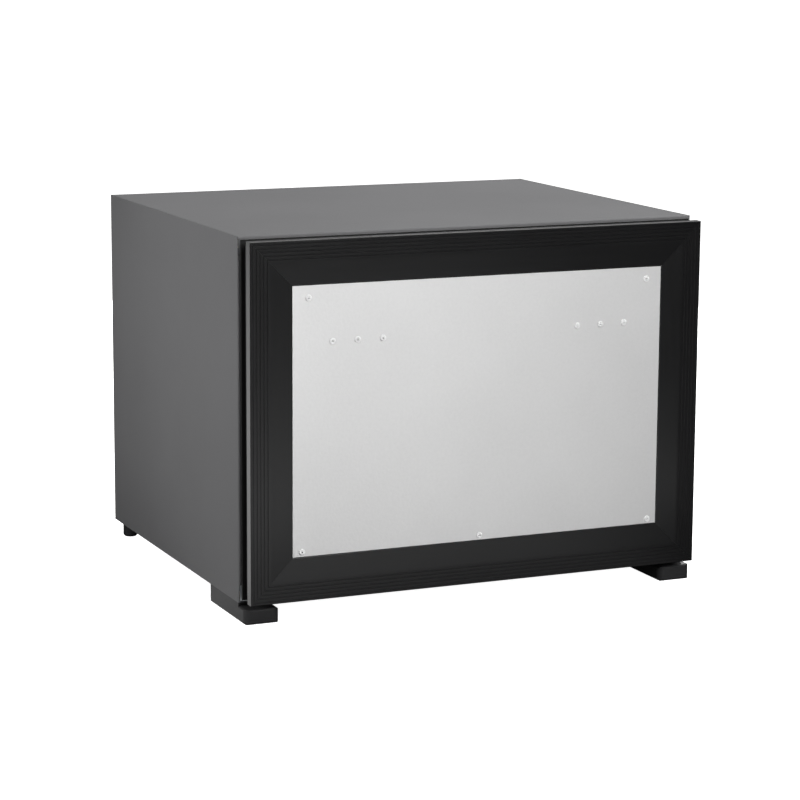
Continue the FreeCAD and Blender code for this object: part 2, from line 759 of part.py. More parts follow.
def corner_keys():
    """Angle cleats pushed into the hollow bars to hold the mitres together."""
    inner = FRAME_INNER - FRAME_WALL - KEY_CLEARANCE
    start = max(KEY_INSET, SLOT_INSET + SLOT_WIDTH / 2 + FRAME_WALL + KEY_CLEARANCE)
    front = SLOPE_DROP + FRAME_WALL + KEY_CLEARANCE
    thickness = FRAME_DEPTH - FRAME_WALL - KEY_CLEARANCE - front
    plan = [
        (start, start),
        (KEY_ARM, start),
        (KEY_ARM, inner),
        (inner, inner),
        (inner, KEY_ARM),
        (start, KEY_ARM),
    ]
    keys = []
    for x, x_way in ((-DOOR_X, 1), (DOOR_X, -1)):
        for z, z_way in ((DOOR_BOTTOM_Z, 1), (DOOR_TOP_Z, -1)):
            points = [(x + x_way * a, z + z_way * b) for a, b in plan]
            keys.append(prism(points, on_xz(FRONT_Y + front), Y_AXIS * thickness))
    return keys


def handle_fixing_places():
    """Points on the plate for a handle at each of its spacings."""
    z = PLATE_TOP_Z - HANDLE_DROP
    reaches = [PLATE_X - HANDLE_INSET - HANDLE_STEP * index for index in range(HANDLE_CHOICES)]
    return [Vector(side * reach, PLATE_Y, z) for reach in reaches for side in SIDES.values()]


def panel_fixing_places():
    """Points on the plate for the furniture panel: two at the top, three at the bottom."""
    top_z = PLATE_TOP_Z - PANEL_TOP_DROP
    bottom_z = PLATE_BOTTOM_Z + PANEL_BOTTOM_RISE
    top_x = PLATE_X - PANEL_TOP_INSET
    bottom_x = PLATE_X - PANEL_BOTTOM_INSET
    top = [Vector(side * top_x, PLATE_Y, top_z) for side in SIDES.values()]
    return top + [Vector(side * bottom_x, PLATE_Y, bottom_z) for side in (-1, 0, 1)]


def fixing_shanks(places):
    """Room for the shanks of fixings at some places."""
    return [Part.makeCylinder(FIXING_SHANK_RADIUS, FIXING_LENGTH, place, Y_AXIS) for place in places]


def fixings(places):
    """Nylon screw inserts with a crowned head and a pilot bore."""
    profile = [
        (FIXING_BORE_RADIUS, -FIXING_HEAD_HEIGHT),
        (FIXING_HEAD_RADIUS, -FIXING_HEAD_HEIGHT, FIXING_HEAD_CROWN),
        (FIXING_HEAD_RADIUS, 0),
        (FIXING_SHANK_RADIUS, 0),
        (FIXING_SHANK_RADIUS, FIXING_LENGTH),
        (0, FIXING_LENGTH),
        (0, FIXING_BORE_DEPTH),
        (FIXING_BORE_RADIUS, FIXING_BORE_DEPTH),
    ]
    return [turned(profile, place, Y_AXIS, X_AXIS) for place in places]


def front_plate():
    """Metal plate that fills the frame, drilled for the fixings."""
    half = PLATE_X - PLATE_CLEARANCE
    span_z = (PLATE_BOTTOM_Z + PLATE_CLEARANCE, PLATE_TOP_Z - PLATE_CLEARANCE)
    plate = box((-half, half), (PLATE_Y, PLATE_Y + PLATE), span_z)
    return plate.cut(fixing_shanks(handle_fixing_places() + panel_fixing_places()))


def door_plug(inset):
    """The swell of the front's inner side that enters the cabinet, drawn in by an inset."""
    wires = []
    for y, draft in ((FRAME_REAR_Y, 0.0), (PLUG_Y - inset, PLUG_DRAFT)):
        shrink = PLUG_CLEARANCE + inset + draft
        half = COLD_X - shrink
        span_z = (FLOOR_Z + shrink, CEILING_Z - shrink)
        wires.append(outline(rectangle((-half, half), span_z, PLUG_CORNER - inset), on_xz(y)))
    return loft(*wires)


def door_liner():
    """Inner skin of the drawer front: a flat rim with a shallow pan."""
    half = DOOR_X - DOOR_RIM_INSET
    span_z = (DOOR_BOTTOM_Z + DOOR_RIM_INSET, DOOR_TOP_Z - DOOR_RIM_INSET)
    rim = box((-half, half), (FRAME_REAR_Y, FRAME_REAR_Y + LINER_WALL), span_z)
    return fused([rim, door_plug(0.0)]).cut([door_plug(LINER_WALL), *carriage_screws()])


def door_foam():
    """Insulation between the plate, the frame and the inner skin."""
    ledge_end = FRAME_FACE + FRAME_LEDGE
    layers = [door_plug(LINER_WALL)]
    for inset, start, end in (
        (ledge_end, SEAT_DEPTH, SEAT_DEPTH + FRAME_WALL),
        (FRAME_INNER, SEAT_DEPTH + FRAME_WALL, FRAME_DEPTH),
    ):
        half = DOOR_X - inset
        span_z = (DOOR_BOTTOM_Z + inset, DOOR_TOP_Z - inset)
        layers.append(box((-half, half), (FRONT_Y + start, FRONT_Y + end), span_z))
    shanks = fixing_shanks(handle_fixing_places() + panel_fixing_places())
    return fused(layers).cut([*shanks, *carriage_screws()])


def magnet_range():
    """Inward and depth limits of the pocket for the magnet strip."""
    inward = (GASKET_INSET + GASKET_WALL, GASKET_INSET + GASKET_WIDTH - GASKET_WALL)
    depth = (FRAME_DEPTH + GASKET_BELLOWS, DOOR_GAP - GASKET_CLEARANCE - GASKET_WALL)
    return inward, depth


def gasket():
    """Seal with a dart in the frame slot, a bellows, a magnet pocket and an outer fin, welded at the corners."""
    low = GASKET_INSET
    high = GASKET_INSET + GASKET_WIDTH
    base = FRAME_DEPTH + GASKET_WALL
    waist = FRAME_DEPTH + GASKET_BELLOWS / 2
    pocket = FRAME_DEPTH + GASKET_BELLOWS - GASKET_WALL
    face = DOOR_GAP - GASKET_CLEARANCE
    barb = FRAME_DEPTH - FRAME_WALL - DART_CLEARANCE
    tip = FRAME_DEPTH - SLOT_DEPTH + DART_CLEARANCE
    section = [
        (low, FRAME_DEPTH),
        (SLOT_INSET - DART_STEM / 2, FRAME_DEPTH),
        (SLOT_INSET - DART_STEM / 2, barb),
        (SLOT_INSET - DART_WIDTH / 2, barb),
        (SLOT_INSET, tip),
        (SLOT_INSET + DART_WIDTH / 2, barb),
        (SLOT_INSET + DART_STEM / 2, barb),
        (SLOT_INSET + DART_STEM / 2, FRAME_DEPTH),
        (high, FRAME_DEPTH),
        (high, base),
        (high - GASKET_WAIST, waist),
        (high, pocket),
        (high, face),
        (GASKET_FIN_INSET, face),
        (GASKET_FIN_INSET, face - GASKET_FIN),
        (low, face - GASKET_FIN),
        (low, pocket),
        (low + GASKET_WAIST, waist),
        (low, base),
    ]
    bellows = [
        (low + GASKET_WALL, base),
        (high - GASKET_WALL, base),
        (high - GASKET_WALL - GASKET_WAIST, waist),
        (high - GASKET_WALL, pocket),
        (low + GASKET_WALL, pocket),
        (low + GASKET_WALL + GASKET_WAIST, waist),
    ]
    magnet = rectangle(*magnet_range())
    bars = [mitred_bar(side, section, [bellows, magnet]) for side in ("top", "right", "bottom", "left")]
    return fused(bars)


def gasket_magnets():
    """Flexible magnet strips inside the gasket."""
    inward, depth = magnet_range()
    inward = (inward[0] + MAGNET_CLEARANCE, inward[1] - MAGNET_CLEARANCE)
    depth = (depth[0] + MAGNET_CLEARANCE, depth[1] - MAGNET_CLEARANCE)
    section = rectangle(inward, depth)
    return [mitred_bar(side, section, gap=GASKET_WALL) for side in ("top", "bottom", "left", "right")]


# Runners


def runner_place(side):
    """Map of a runner section: across from the liner wall, and up from the runner's middle."""
    return lambda across, up: Vector(side * (COLD_X - across), RUNNER_Y, RUNNER_Z + up)


def runner_bar(side, points):
    """Runner member of full length."""
    return prism(points, runner_place(side), Y_AXIS * RUNNER_LENGTH)


def races(side, ball):
    """Grooves in which the upper and lower row of balls run."""
    place = runner_place(side)
    return [Part.makeCylinder(RACE, RUNNER_LENGTH, place(ball[0], way * ball[1]), Y_AXIS) for way in (1, -1)]


def channel(start, end, half_height, flange, web_at_start):
    """C-shaped section with a web on one side."""
    web = start + RUNNER_SHEET if web_at_start else end - RUNNER_SHEET
    near, far = (start, end) if web_at_start else (end, start)
    inside = half_height - flange
    return [
        (near, -half_height),
        (far, -half_height),
        (far, -inside),
        (web, -inside),
        (web, inside),
        (far, inside),
        (far, half_height),
        (near, half_height),
    ]


def runner_outer(side):
    """Cabinet member: a channel whose rolled lips hold the outer balls."""
    half = RUNNER_HEIGHT / 2
    inner = OUTER_REACH - RUNNER_SHEET
    points = [
        (0, -half),
        (OUTER_REACH, -half, RACE + RUNNER_SHEET),
        (OUTER_REACH, -half + OUTER_LIP),
        (inner, -half + OUTER_LIP),
        (inner, -half + RUNNER_SHEET, RACE),
        (RUNNER_SHEET, -half + RUNNER_SHEET),
        (RUNNER_SHEET, half - RUNNER_SHEET),
        (inner, half - RUNNER_SHEET, RACE),
        (inner, half - OUTER_LIP),
        (OUTER_REACH, half - OUTER_LIP),
        (OUTER_REACH, half, RACE + RUNNER_SHEET),
        (0, half),
    ]
    return runner_bar(side, points).cut(runner_screws())


def runner_middle(side):
    """Middle member, grooved on both sides of its flanges."""
    section = channel(MIDDLE_WEB, MIDDLE_REACH, MIDDLE_TOP, MIDDLE_FLANGE, True)
    return runner_bar(side, section).cut(races(side, OUTER_BALL) + races(side, INNER_BALL))


def runner_inner(side):
    """Drawer member, fixed to the carriage rail."""
    section = channel(INNER_START, RUNNER_THICKNESS, INNER_TOP, INNER_FLANGE, False)
    return runner_bar(side, section).cut(races(side, INNER_BALL))


def ball_cage(side, web, reach, ball):
    """Bent strip that spaces an upper and a lower row of balls."""
    place = runner_place(side)
    start = Vector(0, CAGE_START, 0)
    top = ball[1] + CAGE_SHEET / 2
    path = [(reach, -top), (web, -top), (web, top), (reach, top)]
    section = folded(path[::-1], CAGE_SHEET, CAGE_SHEET)
    strip = prism(section, lambda a, b: place(a, b) + start, Y_AXIS * CAGE_LENGTH)
    pitch = CAGE_LENGTH / CAGE_BALLS
    centres = []
    for way in (1, -1):
        for index in range(CAGE_BALLS):
            centres.append(place(ball[0], way * ball[1]) + start + Y_AXIS * (pitch * (index + 0.5)))
    hole = BALL_RADIUS + CAGE_HOLE_CLEARANCE
    holes = [Part.makeCylinder(hole, RACE, centre - Z_AXIS * (RACE / 2), Z_AXIS) for centre in centres]
    return [strip.cut(holes)] + [Part.makeSphere(BALL_RADIUS, centre) for centre in centres]


def cage_outer(side):
    """Cage between the cabinet member and the middle member."""
    web = RUNNER_SHEET + CAGE_CLEARANCE
    return ball_cage(side, web, OUTER_REACH - web, OUTER_BALL)


def cage_inner(side):
    """Cage between the middle member and the drawer member."""
    web = MIDDLE_WEB + RUNNER_SHEET + CAGE_CLEARANCE
    return ball_cage(side, web, INNER_BALL[0] + RACE, INNER_BALL)


def runner_screws():
    """Countersunk screws through the cabinet members into the liner."""
    screws = []
    for side in SIDES.values():
        place = runner_place(side)
        for along in (RUNNER_SCREW_INSET, RUNNER_LENGTH - RUNNER_SCREW_INSET):
            face = place(RUNNER_SHEET, 0) + Y_AXIS * along
            wall = place(0, 0) + Y_AXIS * along
            outward = X_AXIS * side
            head = Part.makeCone(RUNNER_SCREW_HEAD_RADIUS, RUNNER_SCREW_RADIUS, RUNNER_SHEET, face, outward)
            shank = Part.makeCylinder(RUNNER_SCREW_RADIUS, RUNNER_SCREW_LENGTH, wall, outward)
            screws.append(fused([head, shank]))
    return screws


# Carriage and bin


def carriage_rail(side):
    """Angle rail on the drawer member; its ledge carries the bin and its tab meets the drawer front."""
    path = [
        (-RAIL_X, RAIL_TOP_Z),
        (-RAIL_X, RAIL_BOTTOM_Z),
        (-RAIL_INNER_X + RAIL_LEDGE, RAIL_BOTTOM_Z),
    ]
    angle = prism(folded(path, RAIL_SHEET, RAIL_SHEET + SEAM), on_xz(PLUG_Y), Y_AXIS * (RAIL_END_Y - PLUG_Y))
    tab = box((-RAIL_X, -RAIL_X + RAIL_TAB), (PLUG_Y, PLUG_Y + RAIL_SHEET), (LEDGE_Z, RAIL_TOP_Z))
    rail = mirrored(fused([angle, tab]), side)
    return rail.cut(carriage_screws())


def carriage_screws():
    """Screws that hold the rail tabs to the drawer front."""
    top = CARRIAGE_SCREW_LENGTH + CARRIAGE_SCREW_HEAD_HEIGHT
    profile = [
        (0, 0),
        (CARRIAGE_SCREW_RADIUS, 0),
        (CARRIAGE_SCREW_RADIUS, CARRIAGE_SCREW_LENGTH),
        (CARRIAGE_SCREW_HEAD_RADIUS, CARRIAGE_SCREW_LENGTH),
        (CARRIAGE_SCREW_HEAD_RADIUS, top, CARRIAGE_SCREW_HEAD_HEIGHT / 2),
        (0, top),
    ]
    tip_y = PLUG_Y + RAIL_SHEET - CARRIAGE_SCREW_LENGTH
    x = RAIL_X - RAIL_TAB + CARRIAGE_SCREW_HEAD_RADIUS + RAIL_SHEET
    middle_z = (LEDGE_Z + RAIL_TOP_Z) / 2
    screws = []
    for side in SIDES.values():
        for way in (-1, 1):
            place = Vector(side * x, tip_y, middle_z + way * CARRIAGE_SCREW_PITCH / 2)
            screws.append(turned(profile, place, Y_AXIS, X_AXIS))
    return screws


def carriage_bar():
    """Angle bar across the back of the carriage, standing on the rail ledges."""
    rear = RAIL_END_Y - RAIL_SHEET
    path = [(rear - BAR_LEG, LEDGE_Z), (rear, LEDGE_Z), (rear, LEDGE_Z + BAR_LEG)]
    half = RAIL_INNER_X
    return prism(folded(path, RAIL_SHEET, RAIL_SHEET + SEAM), on_yz(-half), X_AXIS * (2 * half))


def bin_ring(z, inset):
    """Limits of the bin's outside at a height, drawn in by an inset."""
    share = (BIN_TOP_Z - z) / (BIN_TOP_Z - BIN_BOTTOM_Z)
    shrink = BIN_DRAFT * share + inset
    return (-BIN_X + shrink, BIN_X - shrink), (BIN_FRONT_Y + shrink, BIN_REAR_Y - shrink)


def bin_block(inset, low_z):
    """The bin as a solid from a height up to its rim, drawn in by an inset."""
    radius = BIN_CORNER - inset
    heights = (low_z, BIN_TOP_Z)
    return loft(*[outline(rectangle(*bin_ring(z, inset), radius), on_xy(z)) for z in heights])


def divider_places():
    """Places across the bin of its dividers, with lanes of one width."""
    return [-BIN_X + LANE * index for index in range(1, LANES)]


def divider_guides():
    """Upright ribs in pairs on the front and rear wall, between which a divider drops."""
    guides = []
    half = DIVIDER / 2 + DIVIDER_CLEARANCE
    reach = BIN_DRAFT + BIN_WALL + GUIDE_DEPTH
    for x in divider_places():
        for way in (-1, 1):
            near = x + way * half
            span_x = sorted((near, near + way * GUIDE_WIDTH))
            for span_y in ((BIN_FRONT_Y, BIN_FRONT_Y + reach), (BIN_REAR_Y - reach, BIN_REAR_Y)):
                guides.append(box(span_x, span_y, (BIN_BOTTOM_Z + GUIDE_FOOT, BIN_TOP_Z - DIVIDER_DROP)))
    return guides


def drawer_bin():
    """Moulded tub with drafted walls, a rim that hangs on the rails, and guides for the dividers."""
    outside = bin_block(0.0, BIN_BOTTOM_Z)
    inside = bin_block(BIN_WALL, BIN_BOTTOM_Z + BIN_WALL)
    half = RAIL_INNER_X - BIN_RAIL_CLEARANCE
    rim = rectangle((-half, half), (BIN_FRONT_Y, BIN_REAR_Y), BIN_CORNER / 2)
    lip = prism(rim, on_xy(LEDGE_Z), Z_AXIS * BIN_LIP)
    guides = [guide.common(outside) for guide in divider_guides()]
    return fused([fused([outside, lip]).cut(inside), *guides])


def bin_dividers():
    """Drop-in dividers with a scooped top edge, cut to the draft of the walls."""
    low_z = BIN_BOTTOM_Z + BIN_WALL
    high_z = BIN_TOP_Z - DIVIDER_DROP
    inset = BIN_WALL + DIVIDER_CLEARANCE
    low_y = bin_ring(low_z, inset)[1]
    high_y = bin_ring(high_z, inset)[1]
    middle = (high_y[0] + high_y[1]) / 2
    quarter = (high_y[1] - high_y[0]) / 4
    points = [
        (low_y[0], low_z),
        (low_y[1], low_z),
        (high_y[1], high_z),
        (middle + quarter, high_z, DIVIDER_SCOOP / 2),
        (middle + quarter - DIVIDER_SCOOP, high_z - DIVIDER_SCOOP, DIVIDER_SCOOP),
        (middle - quarter + DIVIDER_SCOOP, high_z - DIVIDER_SCOOP, DIVIDER_SCOOP),
        (middle - quarter, high_z, DIVIDER_SCOOP / 2),
        (high_y[0], high_z),
    ]
    return [prism(points, on_yz(x - DIVIDER / 2), X_AXIS * DIVIDER) for x in divider_places()]


# Cold side: evaporator and control unit


def evaporator_planes():
    """Front and rear face of the evaporator plate."""
    rear = HIGH_BACK_Y - EVAPORATOR_STANDOFF
    return rear - EVAPORATOR_SHEET, rear


def evaporator_span():
    """Lower and upper edge of the evaporator plate."""
    return STEP_Z + EVAPORATOR_MARGIN, CEILING_Z - EVAPORATOR_MARGIN


def spacer_places():
    """Points on the liner wall behind the corners of the evaporator plate."""
    x = EVAPORATOR_X - SPACER_INSET
    low, high = evaporator_span()
    heights = (low + SPACER_INSET, high - SPACER_INSET)
    return [Vector(side * x, HIGH_BACK_Y, z) for side in SIDES.values() for z in heights]


def serpentine(half_width, heights, y):
    """Corners of a path that runs to and fro, first to the left, at each height in turn."""
    points = [Vector(half_width, y, heights[0])]
    for index, z in enumerate(heights):
        x = half_width if index % 2 else -half_width
        points.append(Vector(x, y, z))
        if index + 1 < len(heights):
            points.append(Vector(x, y, heights[index + 1]))
    return points


def evaporator_plate():
    """Roll-bonded plate with its refrigerant channel swelling from both faces."""
    front, rear = evaporator_planes()
    half = EVAPORATOR_X
    plate = box((-half, half), (front, rear), evaporator_span())
    low, high = evaporator_span()
    pitch = (high - low - 2 * CHANNEL_MARGIN) / (CHANNEL_PASSES - 1)
    heights = [high - CHANNEL_MARGIN - pitch * index for index in range(CHANNEL_PASSES)]
    path = serpentine(half - CHANNEL_MARGIN, heights, (front + rear) / 2)
    channel_tube = tube(path, CHANNEL_RADIUS, pitch / 2)
    return fused([plate, channel_tube]).cut(evaporator_screws())


def evaporator_spacers():
    """Plastic stand-offs between the plate and the liner."""
    screws = evaporator_screws()
    posts = []
    for place in spacer_places():
        post = Part.makeCylinder(SPACER_RADIUS, EVAPORATOR_STANDOFF, place, -Y_AXIS)
        posts.append(post.cut(screws))
    return posts


def evaporator_screws():
    """Screws through the plate and the stand-offs into the liner."""
    length = EVAPORATOR_SCREW_LENGTH
    top = length + EVAPORATOR_SCREW_HEAD_HEIGHT
    tip_y = evaporator_planes()[0] + length
    profile = [
        (0, 0),
        (EVAPORATOR_SCREW_RADIUS, 0),
        (EVAPORATOR_SCREW_RADIUS, length),
        (EVAPORATOR_SCREW_HEAD_RADIUS, length),
        (EVAPORATOR_SCREW_HEAD_RADIUS, top, EVAPORATOR_SCREW_HEAD_HEIGHT / 2),
        (0, top),
    ]
    tips = [Vector(place.x, tip_y, place.z) for place in spacer_places()]
    return [turned(profile, tip, -Y_AXIS, X_AXIS) for tip in tips]


def control_block(inset, low_z, high_z):
    """Rounded block of the control housing, drawn in by an inset."""
    sides = (CONTROL_WIDTH - 2 * inset, CONTROL_DEPTH - 2 * inset)
    plan = centred(Vector(CONTROL_X, CONTROL_Y, 0), *sides, CONTROL_CORNER - inset)
    return prism(plan, on_xy(low_z), Z_AXIS * (high_z - low_z))


def lens_block(grow, low_z, high_z):
    """Block over the lamp window, grown sideways."""
    x = CONTROL_X - CONTROL_OFFSET
    half_x = LENS_WIDTH / 2 + grow
    half_y = LENS_DEPTH / 2 + grow
    return box((x - half_x, x + half_x), (CONTROL_Y - half_y, CONTROL_Y + half_y), (low_z, high_z))


def shaft_bore(low_z, high_z):
    """Clear hole for the thermostat shaft."""
    base = Vector(KNOB_CENTRE.x, KNOB_CENTRE.y, low_z)
    return Part.makeCylinder(SHAFT_RADIUS + SHAFT_CLEARANCE, high_z - low_z, base, Z_AXIS)


def control_housing():
    """Cover under the ceiling with the lamp window and the hole for the shaft."""
    low = CONTROL_BOTTOM_Z
    floor = low + CONTROL_WALL
    cover = control_block(0.0, low, CEILING_Z).cut(control_block(CONTROL_WALL, floor, CEILING_Z))
    return cover.cut([lens_block(LENS_CLEARANCE, low, floor), shaft_bore(low, floor)])


def lamp_lens():
    """Clear lens that fills the window and rests on the housing floor by its flange."""
    floor = CONTROL_BOTTOM_Z + CONTROL_WALL
    window = lens_block(0.0, CONTROL_BOTTOM_Z, floor)
    return fused([window, lens_block(LENS_FLANGE, floor, floor + LENS_SHEET)])


def thermostat_body():
    """Thermostat in the housing, with the bore that its shaft turns in."""
    floor = CONTROL_BOTTOM_Z + CONTROL_WALL
    plan = centred(KNOB_CENTRE, THERMOSTAT_WIDTH, THERMOSTAT_WIDTH, SHAFT_RADIUS)
    body = prism(plan, on_xy(floor), Z_AXIS * THERMOSTAT_HEIGHT)
    return body.cut(shaft_bore(floor, KNOB_CENTRE.z + SHAFT_LENGTH + KNOB_GAP))


def thermostat_knob():
    """Knob with a round skirt, a grip bar across it and its shaft."""
    skirt = turned(
        [
            (0, -KNOB_SKIRT),
            (KNOB_SKIRT_RADIUS, -KNOB_SKIRT, KNOB_SKIRT / 2),
            (KNOB_SKIRT_RADIUS, 0),
            (SHAFT_RADIUS, 0),
            (SHAFT_RADIUS, SHAFT_LENGTH),
            (0, SHAFT_LENGTH),
        ],
        KNOB_CENTRE, Z_AXIS, X_AXIS)
    length = 2 * (KNOB_SKIRT_RADIUS - KNOB_SKIRT)
    plan = centred(KNOB_CENTRE, KNOB_GRIP_WIDTH, length, KNOB_GRIP_WIDTH / 4)
    low = KNOB_CENTRE.z - KNOB_SKIRT - KNOB_GRIP_HEIGHT
    grip = prism(plan, on_xy(low), Z_AXIS * (KNOB_GRIP_HEIGHT + KNOB_SKIRT / 2))
    return fused([skirt, grip])


# Warm side: chassis, compressor, condenser and pipes


def stud_places():
    """Points on top of the chassis plate under the compressor's mounts."""
    x = MOUNT_HALF_LENGTH - MOUNT_HOLE_INSET
    y = MOUNT_HALF_WIDTH - MOUNT_HOLE_INSET
    return [
        Vector(COMPRESSOR_X + way_x * x, COMPRESSOR_Y + way_y * y, CHASSIS_TOP_Z)
        for way_x in (-1, 1) for way_y in (-1, 1)
    ]


def chassis_plate():
    """Plate under the machine space with turned-up edges."""
    front = MACHINE_Y + SEAM
    rear = REAR_Y - SHEET - SEAM
    flange_z = MOUNT_Z - CHASSIS_FLANGE_GAP
    plate = cabinet_sheet(
        [
            (front, flange_z),
            (front, BASE_Z),
            (rear, BASE_Z),
            (rear, flange_z),
        ],
        CHASSIS)
    below = Vector(0, 0, -CHASSIS)
    holes = [Part.makeCylinder(STUD_RADIUS, CHASSIS, place + below, Z_AXIS) for place in stud_places()]
    stems = [Part.makeCylinder(REAR_FOOT_STEM, TOP_Z, place, Z_AXIS) for place in rear_foot_places()]
    return plate.cut(holes + stems)


def compressor_grommets():
    """Waisted rubber mounts under the compressor."""
    bore = STUD_RADIUS + STUD_CLEARANCE
    waist = GROMMET_RADIUS - GROMMET_WAIST
    profile = [
        (bore, 0),
        (GROMMET_RADIUS, 0),
        (GROMMET_RADIUS, GROMMET_HEIGHT / 4),
        (waist, GROMMET_HEIGHT / 2),
        (GROMMET_RADIUS, GROMMET_HEIGHT * 3 / 4),
        (GROMMET_RADIUS, GROMMET_HEIGHT),
        (bore, GROMMET_HEIGHT),
    ]
    return [turned(profile, place, Z_AXIS, X_AXIS) for place in stud_places()]


def compressor_studs():
    """Studs from the chassis plate, each with a flanged nut on the mounting plate."""
    seat = GROMMET_HEIGHT + MOUNT_PLATE
    top = seat + NUT_FLANGE + NUT_HEIGHT
    profile = [
        (0, -CHASSIS),
        (STUD_RADIUS, -CHASSIS),
        (STUD_RADIUS, seat),
        (NUT_FLANGE_RADIUS, seat),
        (NUT_FLANGE_RADIUS, seat + NUT_FLANGE),
        (STUD_RADIUS, seat + NUT_FLANGE),
        (STUD_RADIUS, top + STUD_TAIL),
        (0, top + STUD_TAIL),
    ]
    corner = NUT_ACROSS_CORNERS / 2
    studs = []
    for place in stud_places():
        hexagon = []
        for index in range(6):
            angle = math.radians(60 * index)
            hexagon.append((place.x + corner * math.cos(angle), place.y + corner * math.sin(angle)))
        nut = prism(hexagon, on_xy(place.z + seat + NUT_FLANGE), Z_AXIS * NUT_HEIGHT)
        studs.append(fused([turned(profile, place, Z_AXIS, X_AXIS), nut]))
    return studs


def compressor_mount():
    """Plate welded under the compressor, with a hole over each grommet."""
    centre = Vector(COMPRESSOR_X, COMPRESSOR_Y, 0)
    plan = centred(centre, 2 * MOUNT_HALF_LENGTH, 2 * MOUNT_HALF_WIDTH, MOUNT_CORNER)
    plate = prism(plan, on_xy(MOUNT_Z), Z_AXIS * MOUNT_PLATE)
    radius = STUD_RADIUS + STUD_CLEARANCE
    return plate.cut([Part.makeCylinder(radius, TOP_Z, place, Z_AXIS) for place in stud_places()])


def capsule(grow, low_z, high_z):
    """Prism with the compressor's round-ended plan."""
    width = COMPRESSOR_WIDTH + 2 * grow
    plan = centred(Vector(COMPRESSOR_X, COMPRESSOR_Y, 0), COMPRESSOR_LENGTH + 2 * grow, width, width / 2)
    return prism(plan, on_xy(low_z), Z_AXIS * (high_z - low_z))


def compressor_shell():
    """Welded shell with a domed top, a rounded sole and a proud weld band."""
    top = SHELL_Z + COMPRESSOR_HEIGHT
    shell = capsule(0.0, SHELL_Z, top)
    for z, radius in ((top, COMPRESSOR_CROWN), (SHELL_Z, COMPRESSOR_SOLE)):
        level = [edge for edge in shell.Edges if edge.BoundBox.ZLength < TINY]
        shell = shell.makeFillet(radius, [edge for edge in level if abs(edge.BoundBox.ZMin - z) < TINY])
    band_z = SHELL_Z + SEAM_RISE
    return fused([shell, capsule(SEAM_PROUD, band_z - SEAM_BAND / 2, band_z + SEAM_BAND / 2)])


def terminal_cover():
    """Moulded cover over the terminals, shaped to the shell's end."""
    low_z = SHELL_Z + TERMINAL_RISE
    end = COMPRESSOR_X - COMPRESSOR_LENGTH / 2
    half = TERMINAL_WIDTH / 2
    span_z = (low_z, low_z + TERMINAL_HEIGHT)
    plan = rectangle((COMPRESSOR_Y - half, COMPRESSOR_Y + half), span_z, TERMINAL_RADIUS)
    cover = prism(plan, on_yz(end - TERMINAL_LENGTH), X_AXIS * (TERMINAL_LENGTH + half))
    return cover.cut(compressor_shell())


def pass_heights():
    """Heights of the condenser's passes, from the top down."""
    return [CONDENSER_TOP_Z - CONDENSER_PITCH * index for index in range(CONDENSER_PASSES)]


def condenser_tube():
    """Tube that runs to and fro down the back and ends above the filter drier."""
    path = serpentine(CONDENSER_X, pass_heights(), CONDENSER_Y)
    path[-1] = Vector(-PIPE_X, CONDENSER_Y, CONDENSER_BOTTOM_Z)
    path.append(Vector(-PIPE_X, CONDENSER_Y, DRIER_TOP_Z))
    return tube(path, CONDENSER_TUBE, CONDENSER_PITCH / 2)


def wire_places():
    """Places across the back of the condenser's wires."""
    return [-CONDENSER_X + WIRE_INSET + WIRE_PITCH * index for index in range(WIRE_COUNT)]


def condenser_wires():
    """Upright wires welded to both sides of the tube."""
    low = CONDENSER_BOTTOM_Z - WIRE_OVERHANG
    length = CONDENSER_TOP_Z + WIRE_OVERHANG - low
    offset = CONDENSER_TUBE + WIRE_RADIUS + WELD_GAP
    wires = []
    for x in wire_places():
        for way in (-1, 1):
            base = Vector(x, CONDENSER_Y + way * offset, low)
            wires.append(Part.makeCylinder(WIRE_RADIUS, length, base, Z_AXIS))
    return wires


def condenser_clips():
    """Saddles that hold the tube off the rear sheet, each between two wires."""
    heights = pass_heights()
    clips = []
    for z in (heights[1], heights[-2]):
        for side in SIDES.values():
            x = side * (CONDENSER_X - WIRE_INSET - 1.5 * WIRE_PITCH)
            span_x = (x - CLIP_WIDTH / 2, x + CLIP_WIDTH / 2)
            saddle = rectangle((BACK_Y, CONDENSER_Y), (z - CLIP_HEIGHT / 2, z + CLIP_HEIGHT / 2))
            block = prism(saddle, on_yz(span_x[0]), X_AXIS * CLIP_WIDTH)
            start = Vector(span_x[0], CONDENSER_Y, z)
            groove = Part.makeCylinder(CONDENSER_TUBE + WELD_GAP, CLIP_WIDTH, start, X_AXIS)
            clips.append(block.cut(groove))
    return clips


def discharge_tube():
    """Pipe from the compressor up to the top of the condenser."""
    z = SHELL_Z + DISCHARGE_RISE
    path = [
        Vector(COMPRESSOR_X, CONDENSER_Y, z),
        Vector(PIPE_X, CONDENSER_Y, z),
        Vector(PIPE_X, CONDENSER_Y, CONDENSER_TOP_Z),
        Vector(CONDENSER_X, CONDENSER_Y, CONDENSER_TOP_Z),
    ]
    return tube(path, CONDENSER_TUBE, PIPE_BEND).cut(compressor_shell())


def filter_drier():
    """Copper drier with drawn-in ends, under the condenser's outlet."""
    profile = [
        (0, 0),
        (CONDENSER_TUBE, 0),
        (DRIER_RADIUS, -DRIER_CONE),
        (DRIER_RADIUS, -DRIER_LENGTH + DRIER_CONE),
        (CAPILLARY_RADIUS, -DRIER_LENGTH),
        (0, -DRIER_LENGTH),
    ]
    return turned(profile, Vector(-PIPE_X, CONDENSER_Y, DRIER_TOP_Z), Z_AXIS, X_AXIS)


